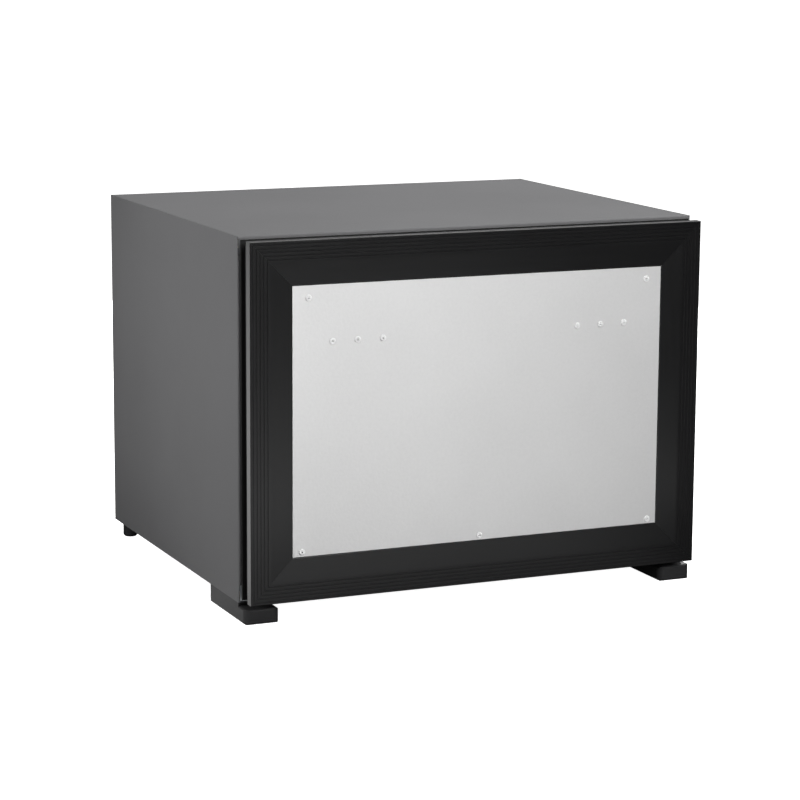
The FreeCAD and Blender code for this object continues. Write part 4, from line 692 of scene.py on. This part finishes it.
@dataclass
class Drawer:
    """Runners, carriage and bin.

    Attributes:
        rib_width: Width of a rib on the bin's floor.
        rib_height: Height of a rib.
        rib_end: Distance of a rib's ends from the ends of the bin.
        rib_pitch: Distance between the ribs of a lane.
        rib_taper: Scale of a rib's upper face across and along.
        rib_round: Bevel of a rib's edges.
        floor: Thickness of the bin's floor.
        lanes: Number of lanes that the dividers make.
        lane_ribs: Number of ribs in a lane.
    """

    rib_width: float = 3.0 * MM
    rib_height: float = 1.2 * MM
    rib_end: float = 26.0 * MM
    rib_pitch: float = 36.0 * MM
    rib_taper: Pair = (0.6, 0.985)
    rib_round: float = 0.4 * MM
    floor: float = 2.2 * MM
    lanes: int = 3
    lane_ribs: int = 3

    def build(self) -> None:
        """Model the ribs that lift the bottles off the bin's floor."""
        low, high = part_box("drawer_bin")
        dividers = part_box("bin_dividers")
        inner_lanes = self.lanes - 2
        lane = (dividers[1].x - dividers[0].x) / inner_lanes
        left = -lane - self.rib_pitch - self.rib_width / 2
        start = Vector((left, low.y + self.rib_end, low.z + self.floor))
        end = Vector((left + self.rib_width, high.y - self.rib_end, start.z + self.rib_height))
        rib = Workpiece.raised_bar("bin_rib_1", start, end, UP, self.rib_taper, self.rib_round)
        first = rib.fit("drawer", "bin_plastic", BIN_PLASTIC)
        travels = [
            lane * lane_index + self.rib_pitch * rib_index
            for lane_index in range(self.lanes) for rib_index in range(self.lane_ribs)
        ]
        for index, travel in enumerate(travels[1:], start=2):
            repeat(first, f"bin_rib_{index}", Vector((travel, 0, 0)))

    def dress(self) -> None:
        """Give each piece its finish."""
        for side in ("left", "right"):
            RUNNER_STEEL.coat_nodes(f"runner_outer_{side}", f"runner_middle_{side}", f"runner_inner_{side}")
            CAGE_STEEL.coat_nodes(f"cage_outer_{side}", f"cage_inner_{side}")
            CARRIAGE_PAINT.coat_nodes(f"carriage_rail_{side}")
        CARRIAGE_PAINT.coat_nodes("carriage_bar")
        SCREW_STEEL.coat_nodes("carriage_screws", "runner_screws")
        BIN_PLASTIC.coat_nodes("drawer_bin", "bin_dividers")


@dataclass
class ColdSide:
    """Evaporator and control unit in the cold space.

    Attributes:
        tick_width: Width of a mark of the dial.
        tick_length: Length of a mark.
        tick_height: Height of a mark over the housing.
        tick_gap: Distance of the marks from the knob's skirt.
        tick_count: Number of marks over the knob's turn.
        tick_taper: Scale of a mark's free face across and along.
        tick_round: Bevel of the edges of a mark and of the pointer.
        turn: Angle between the first and the last mark.
        pointer_width: Width of the line on the knob's grip.
        pointer_taper: Scale of the line's free face across and along.
        board_size: Length, width and thickness of the lamp's board.
        board_rise: Height of the board over the lens.
        board_cells: Cells along and across the board; two of them grow into posts.
        board_round: Bevel of the board's edges, as a share of its thickness.
        diode_size: Side and height of one diode.
        diode_count: Number of diodes.
        diode_pitch: Distance between diodes.
        diode_inset: Rim round a diode's dish, as a share of its side.
        diode_dish: Depth of the dish.
        diode_taper: Scale of the dish's floor on each axis.
        diode_round: Bevel of a diode's edges.
    """

    tick_width: float = 1.0 * MM
    tick_length: float = 3.4 * MM
    tick_height: float = 0.3 * MM
    tick_gap: float = 2.2 * MM
    tick_count: int = 10
    tick_taper: Pair = (0.7, 0.9)
    tick_round: float = 0.075 * MM
    turn: float = math.radians(270)
    pointer_width: float = 1.4 * MM
    pointer_taper: Pair = (0.8, 0.97)
    board_size: Vector = Vector((36.0, 18.0, 1.6)) * MM
    board_rise: float = 6.0 * MM
    board_cells: int = 5
    board_round: float = 1 / 6
    diode_size: Vector = Vector((3.5, 3.5, 1.0)) * MM
    diode_count: int = 3
    diode_pitch: float = 11.0 * MM
    diode_inset: float = 1 / 6
    diode_dish: float = 0.25 * MM
    diode_taper: Triple = (0.9, 0.9, 1.0)
    diode_round: float = 0.1 * MM

    def build(self) -> None:
        """Model the dial's marks, the knob's pointer and the lamp's board."""
        self.build_dial()
        self.build_pointer()
        self.build_lamp()

    def build_dial(self) -> None:
        """Model the raised marks round the knob."""
        low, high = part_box("thermostat_knob")
        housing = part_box("control_housing")[0]
        centre = (low + high) / 2
        reach = (high.x - low.x) / 2 + self.tick_gap
        start = Vector((centre.x - self.tick_width / 2, centre.y - reach - self.tick_length, 0))
        start.z = housing.z - self.tick_height
        end = start + Vector((self.tick_width, self.tick_length, self.tick_height))
        tick = Workpiece.raised_bar("dial_mark_1", start, end, DOWN, self.tick_taper, self.tick_round)
        first = tick.fit("cabinet", "knob_plastic", DIAL_INK)
        step = self.turn / (self.tick_count - 1)
        for index in range(1, self.tick_count):
            rank = (index + 1) // 2
            angle = step * (rank if index % 2 else -rank)
            repeat(first, f"dial_mark_{index + 1}", Vector(), angle, centre)

    def build_pointer(self) -> None:
        """Model the white line on the knob's grip."""
        low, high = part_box("thermostat_knob")
        centre = (low + high) / 2
        reach = (high.x - low.x) / 2 - self.tick_length
        left = centre.x - self.pointer_width / 2
        start = Vector((left, centre.y - reach + self.pointer_width, low.z - self.tick_height))
        end = Vector((left + self.pointer_width, centre.y - self.pointer_width, low.z))
        line = Workpiece.raised_bar("knob_pointer", start, end, DOWN, self.pointer_taper, self.tick_round)
        line.fit("knob", "fixing_nylon", MARK_INK)

    def build_lamp(self) -> None:
        """Model the lamp's board with its posts, and the diodes under it."""
        low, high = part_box("lamp_lens")
        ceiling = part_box("control_housing")[1].z
        middle = (low + high) / 2
        size = self.board_size
        start = Vector((middle.x - size.x / 2, middle.y - size.y / 2, high.z + self.board_rise))
        board = Workpiece.block("lamp_board", start, start + size)
        board.pick_ends(UP)
        bpy.ops.mesh.subdivide(number_cuts=self.board_cells - 1)
        cell = size / self.board_cells
        rim = size.x / 2 - cell.x
        board.pick(
            "FACE",
            lambda face: face.normal.z > FACING and abs(face.calc_center_median().x - middle.x) > rim
            and abs(face.calc_center_median().y - middle.y) < cell.y / 2)
        board.grow(Vector((0, 0, ceiling - start.z - size.z)))
        board.soften(size.z * self.board_round, segments=1)
        board.fit("cabinet", "control_plastic", BOARD)
        side = self.diode_size
        left = middle.x - side.x / 2 - self.diode_pitch
        corner = Vector((left, middle.y - side.y / 2, start.z - side.z))
        diode = Workpiece.block("lamp_diode_1", corner, corner + side)
        diode.pick_ends(DOWN)
        bpy.ops.mesh.inset(thickness=side.x * self.diode_inset)
        diode.grow(UP * self.diode_dish, self.diode_taper)
        diode.soften(self.diode_round, segments=1)
        first = diode.fit("cabinet", "lens_plastic", DIODE)
        for index in range(1, self.diode_count):
            repeat(first, f"lamp_diode_{index + 1}", Vector((self.diode_pitch * index, 0, 0)))

    def dress(self) -> None:
        """Give each piece its finish."""
        EVAPORATOR.coat_nodes("evaporator_plate")
        SPACER.coat_nodes("evaporator_spacers")
        SCREW_STEEL.coat_nodes("evaporator_screws")
        CONTROL_PLASTIC.coat_nodes("control_housing")
        LENS.coat_nodes("lamp_lens")
        THERMOSTAT_PLASTIC.coat_nodes("thermostat_body")
        KNOB_PLASTIC.coat_nodes("thermostat_knob")


@dataclass
class MachineSpace:
    """Compressor, condenser and pipes at the back.

    Attributes:
        suction_radius: Radius of the suction pipe.
        capillary_radius: Radius of the capillary.
        tube_radius: Radius of the condenser's tube.
        seal_wall: Wall of a rubber seal round a pipe.
        seal_depth: Depth of a seal over the rear sheet.
        joint_wall: Wall of a brazed sleeve.
        joint_length: Length of a brazed sleeve.
        joint_overlap: Share of the discharge tube's sleeve that lies beyond the tube's end.
        clearance: Room between a pipe and a ring on it.
        ring_sides: Number of flat sides of a ring.
        ring_round: Bevel of a ring's edges, as a share of its wall.
        stub_radius: Radius of the compressor's filling stub.
        stub_collar: Radius of the collar at its foot.
        stub_sides: Number of flat sides of the stub.
        stub_length: Length of the stub below its pinched end.
        stub_pinch: Scale of the pinched end on each axis.
        stub_tip: Length of the pinched end.
        stub_round: Bevel of the stub's corners.
        stub_offset: Place of the stub from the middle of the compressor.
    """

    suction_radius: float = 3.2 * MM
    capillary_radius: float = 1.2 * MM
    tube_radius: float = 2.4 * MM
    seal_wall: float = 4.0 * MM
    seal_depth: float = 3.0 * MM
    joint_wall: float = 0.9 * MM
    joint_length: float = 11.0 * MM
    joint_overlap: float = 1 / 3
    clearance: float = 0.15 * MM
    ring_sides: int = 32
    ring_round: float = 1 / 4
    stub_radius: float = 3.0 * MM
    stub_collar: float = 6.0 * MM
    stub_sides: int = 20
    stub_length: float = 10.0 * MM
    stub_pinch: Triple = (1.45, 0.35, 1.0)
    stub_tip: float = 7.2 * MM
    stub_round: float = 0.375 * MM
    stub_offset: float = 30.0 * MM

    def build(self) -> None:
        """Model the pipe seals, the brazed sleeves and the filling stub."""
        self.build_seals()
        self.build_joints()
        self.build_stub()

    def ring(
        self, name: str, start: Vector, way: Vector, bore: float, wall: float, length: float,
    ) -> Workpiece:
        """Model a ring with rounded edges round a pipe.

        Args:
            name: Name of the piece.
            start: Middle of its first end.
            way: Direction of the pipe.
            bore: Radius of the pipe.
            wall: Wall of the ring.
            length: Length of the ring.

        Returns:
            The open piece.
        """
        ring = Workpiece.rod(name, start, way, bore + self.clearance + wall, length, self.ring_sides)
        ring.hollow(way, wall)
        ring.soften(wall * self.ring_round, ROUND_STEPS)
        return ring

    def build_seals(self) -> None:
        """Model the rubber seals where pipes enter the insulation."""
        low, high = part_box("suction_tube")
        suction = Vector(((low.x + high.x) / 2, low.y, high.z - self.suction_radius))
        low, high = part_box("capillary_tube")
        capillary = Vector((high.x - self.capillary_radius, low.y, low.z + self.capillary_radius))
        for name, place, radius in (
            ("suction_seal", suction, self.suction_radius),
            ("capillary_seal", capillary, self.capillary_radius),
        ):
            seal = self.ring(name, place, BACK, radius, self.seal_wall, self.seal_depth)
            seal.fit("cabinet", "grommet_rubber", GROMMET_RUBBER)

    def build_joints(self) -> None:
        """Model the brazed sleeves at the ends of the condenser's and the discharge tube."""
        low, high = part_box("filter_drier")
        middle = (low + high) / 2
        drier = Vector((middle.x, middle.y, high.z))
        low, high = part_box("discharge_tube")
        condenser = Vector((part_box("condenser_tube")[1].x, middle.y, high.z - self.tube_radius))
        discharge = Vector((low.x, middle.y, low.z + self.tube_radius))
        for name, place, way, beyond in (
            ("drier_joint", drier, UP, 0),
            ("condenser_joint", condenser, ACROSS, 1 / 2),
            ("discharge_joint", discharge, ACROSS, self.joint_overlap),
        ):
            start = place - way * (self.joint_length * beyond)
            joint = self.ring(name, start, way, self.tube_radius, self.joint_wall, self.joint_length)
            joint.fit("cabinet", "copper", SILVER_SOLDER)

    def build_stub(self) -> None:
        """Model the copper stub that the compressor was filled through, with its pinched end."""
        low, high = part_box("compressor_shell")
        middle = (low + high) / 2
        radius = self.stub_radius
        foot = Vector((middle.x + self.stub_offset, middle.y, high.z))
        stub = Workpiece.rod("filling_stub", foot, UP, self.stub_collar, radius, self.stub_sides)
        stub.pick_ends(UP)
        bpy.ops.mesh.inset(thickness=self.stub_collar - radius)
        stub.grow(UP * self.stub_length)
        stub.grow(UP * radius, self.stub_pinch)
        stub.grow(UP * self.stub_tip)
        stub.soften(self.stub_round, FINE_STEPS, CORNER_ANGLE)
        stub.fit("cabinet", "copper", COPPER)

    def dress(self) -> None:
        """Give each piece its finish."""
        COMPRESSOR_PAINT.coat_nodes("compressor_shell")
        GROMMET_RUBBER.coat_nodes("compressor_grommets")
        SCREW_STEEL.coat_nodes("compressor_studs")
        THERMOSTAT_PLASTIC.coat_nodes("terminal_cover", "condenser_clips")
        CONDENSER_PAINT.coat_nodes("condenser_tube", "condenser_wires")
        COPPER.coat_nodes("discharge_tube", "filter_drier", "capillary_tube", "suction_tube")


@dataclass
class SoftBox:
    """One large soft lamp.

    Attributes:
        name: Name of the lamp.
        place: Middle of the lamp.
        size: Width and height of its face.
        power: Radiant power in watts.
        aim: Point that it looks at.
    """

    name: str
    place: Vector
    size: Pair
    power: float
    aim: Vector = Vector((0.0, 0.0, 0.22))

    def build(self) -> None:
        """Hang the lamp."""
        light = bpy.data.lights.new(self.name, "AREA")
        light.shape = "RECTANGLE"
        light.size, light.size_y = self.size
        light.energy = self.power
        lamp = bpy.data.objects.new(self.name, light)
        lamp.location = self.place
        lamp.rotation_euler = (self.aim - self.place).to_track_quat("-Z", "Y").to_euler()
        lamp.visible_camera = False
        bpy.context.scene.collection.objects.link(lamp)
        LOG.info("%s: %.0f W", self.name, self.power)


@dataclass
class ReflectionGlow:
    """Glowing sheet in the floor that only glossy faces see: a painted reflection of a lit floor that lights
    nothing.

    Attributes:
        name: Name of the sheet.
        low: Its front left corner.
        high: Its rear right corner.
        glow: Light at its front edge and beyond the fade.
        fade: Distance from its front edge over which the light changes.
        edge: Point and outward direction of a slanting edge, if it has one.
        level: Height of the sheet, just under the floor.
    """

    name: str
    low: Pair
    high: Pair
    glow: Pair
    fade: float
    edge: tuple[Vector, Vector] | None = None
    level: float = -1.0 * MM

    def build(self) -> None:
        """Lay the sheet."""
        bpy.ops.object.select_all(action="DESELECT")
        low = Vector((*self.low, self.level))
        high = Vector((*self.high, self.level))
        middle = (low + high) / 2
        size = high - low
        bpy.ops.mesh.primitive_plane_add(size=1, location=middle)
        sheet = Workpiece(self.name)
        bpy.ops.mesh.select_all(action="SELECT")
        bpy.ops.transform.resize(value=(size.x, size.y, 1.0), center_override=middle)
        if self.edge:
            bpy.ops.mesh.bisect(plane_co=self.edge[0], plane_no=self.edge[1], clear_outer=True)
        bpy.ops.object.mode_set(mode="OBJECT")
        # Black sheet that glows: a painted reflection of a lit floor
        material = bpy.data.materials.new(f"painted_reflection_glow_{self.name}")
        material.use_nodes = True
        tree = material.node_tree
        place = add_node(tree, "TexCoord").outputs["Object"]
        axes = add_node(tree, "SeparateXYZ", {0: place})
        span = (low.y, low.y + self.fade)
        feed(tree.nodes["Principled BSDF"], {
            "Base Color": linear("#000000"),
            "Emission Color": linear("#ffffff"),
            "Emission Strength": remap(tree, axes.outputs["Y"], span, self.glow),
        })
        sheet.object.data.materials.append(material)
        sheet.object.visible_camera = False
        sheet.object.visible_diffuse = False
        sheet.object.visible_shadow = False
        LOG.info("%s: only in reflections", self.name)


@dataclass
class Studio:
    """White cove, glowing sheets seen only in reflections, soft boxes and the light that comes from the room.

    Attributes:
        floor_radius: Radius of the flat floor.
        floor_sides: Number of straight edges round the floor.
        sweep_radius: Radius of the curve from the floor to the wall.
        sweep_steps: Number of steps in the curve.
        wall_height: Height of the wall over the curve.
        paint: Colour of the cove.
        paint_roughness: Roughness of its paint.
        glow: Light of the cove's own, which keeps it white.
        ground: Light of the room from below.
        sky: Light of the room from above.
        horizon: Heights of the view between which the room grows from ground to sky.
    """

    floor_radius: float = 5.0
    floor_sides: int = 96
    sweep_radius: float = 2.5
    sweep_steps: int = 10
    wall_height: float = 3.5
    paint: str = "#ececec"
    paint_roughness: float = 0.9
    glow: float = 1.0
    ground: float = 0.03
    sky: float = 0.28
    horizon: Pair = (-0.15, 0.7)

    def build(self) -> None:
        """Set up the cove, the room's light, the glowing sheets that paint reflections and the lamps."""
        self.build_cove()
        self.build_room()
        self.build_reflection_glows()
        self.build_lamps()

    def build_reflection_glows(self) -> None:
        """Lay the glowing sheets whose painted reflections show in the plate, the frame and the side."""
        slant = (Vector((-0.28, -0.08, 0.0)), Vector((0.914, 0.406, 0.0)))
        # The sheets glow only in reflections: painted reflections of a lit floor
        for sheet in (
            ReflectionGlow("front_sheet", low=(-2.0, -1.35), high=(0.5, -0.62), glow=(0.75, 1.4), fade=0.7),
            # This sheet dims towards the fridge: painted shade on the floor near its foot
            ReflectionGlow("near_sheet", low=(-2.0, -0.62), high=(0.3, -0.25), glow=(0.5, 0.1), fade=0.4),
            ReflectionGlow(
                "side_sheet", low=(-2.5, -0.3), high=(-0.28, 3.5), glow=(0.6, 3.6), fade=1.1, edge=slant),
        ):
            sheet.build()

    def build_lamps(self) -> None:
        """Hang the soft boxes."""
        for lamp in (
            SoftBox("top_box", place=Vector((1.1, 0.9, 2.2)), size=(2.2, 1.8), power=63.0),
            SoftBox("back_box", place=Vector((0.9, 1.9, 0.22)), size=(1.4, 0.36), power=30.0),
            SoftBox("front_box", place=Vector((0.35, -2.5, 0.95)), size=(0.8, 0.8), power=7.5),
            SoftBox("high_box", place=Vector((0.08, -2.1, 1.35)), size=(0.9, 0.9), power=35.5),
            SoftBox("left_box", place=Vector((-1.0, -0.12, 0.5)), size=(0.15, 0.5), power=4.9),
        ):
            lamp.build()

    def build_cove(self) -> None:
        """Model the floor with its wall swept up all round."""
        bpy.ops.object.select_all(action="DESELECT")
        bpy.ops.mesh.primitive_circle_add(
            vertices=self.floor_sides, radius=self.floor_radius, fill_type="NGON")
        cove = Workpiece("studio_cove")
        bpy.ops.mesh.select_all(action="SELECT")
        bpy.ops.mesh.region_to_loop()
        radius = self.floor_radius
        height = 0.0
        levels = []
        for step in range(1, self.sweep_steps + 1):
            angle = math.pi / 2 * step / self.sweep_steps
            reach = self.floor_radius + self.sweep_radius * math.sin(angle)
            levels.append((reach, self.sweep_radius * (1 - math.cos(angle))))
        levels.append((levels[-1][0], levels[-1][1] + self.wall_height))
        for reach, level in levels:
            bpy.ops.mesh.extrude_region_move(TRANSFORM_OT_translate={"value": (0, 0, level - height)})
            share = reach / radius
            bpy.ops.transform.resize(value=(share, share, 1.0), center_override=(0, 0, level))
            radius, height = reach, level
        bpy.ops.object.mode_set(mode="OBJECT")
        bpy.ops.object.shade_smooth()
        material = bpy.data.materials.new("white_cove_paint")
        material.use_nodes = True
        feed(material.node_tree.nodes["Principled BSDF"], {
            "Base Color": linear(self.paint),
            "Roughness": self.paint_roughness,
            "Emission Color": linear("#ffffff"),
            "Emission Strength": self.glow,
        })
        cove.object.data.materials.append(material)
        cove.object.visible_diffuse = False
        cove.object.visible_glossy = False
        cove.object.visible_shadow = False
        LOG.info("studio_cove: %.1f m across", 2 * radius)

    def build_room(self) -> None:
        """Grade the light of the room from the floor up."""
        world = bpy.data.worlds.new("studio_room")
        world.use_nodes = True
        tree = world.node_tree
        way = add_node(tree, "TexCoord").outputs["Generated"]
        axes = add_node(tree, "SeparateXYZ", {0: way})
        reach = (self.ground, self.sky)
        feed(tree.nodes["Background"], {
            "Color": linear("#ffffff"),
            "Strength": remap(
                tree, axes.outputs["Z"], self.horizon, reach, interpolation_type="SMOOTHSTEP"),
        })
        bpy.context.scene.world = world


@dataclass
class Viewpoint:
    """Camera at the photograph's place.

    Attributes:
        place: Place of the lens.
        turn: Turn on each axis, in degrees.
        lens: Focal length in millimetres.
        sensor: Width of the sensor in millimetres.
    """

    place: Vector = Vector((-1.2779, -2.9229, 0.7859))
    turn: Triple = (79.493, -0.339, -23.639)
    lens: float = 121.06
    sensor: float = 36.0

    def build(self) -> None:
        """Set up the camera and the plain transfer of grey levels."""
        camera = bpy.data.cameras.new("photo_camera")
        camera.lens = self.lens
        camera.sensor_width = self.sensor
        stand = bpy.data.objects.new("photo_camera", camera)
        stand.location = self.place
        stand.rotation_euler = [math.radians(angle) for angle in self.turn]
        bpy.context.scene.collection.objects.link(stand)
        bpy.context.scene.camera = stand
        bpy.context.scene.view_settings.view_transform = "Standard"
        LOG.info("camera at %s", tuple(self.place))


def main() -> None:
    """Dress the model, add its fittings, and set up the studio and the camera."""
    logging.basicConfig(level=logging.INFO, format="%(message)s")
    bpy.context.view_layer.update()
    Viewpoint().build()
    DrawerFront().dress()
    for assembly in (Cabinet(), Drawer(), ColdSide(), MachineSpace()):
        assembly.dress()
        assembly.build()
    Studio().build()


if __name__ == "__main__":
    main()
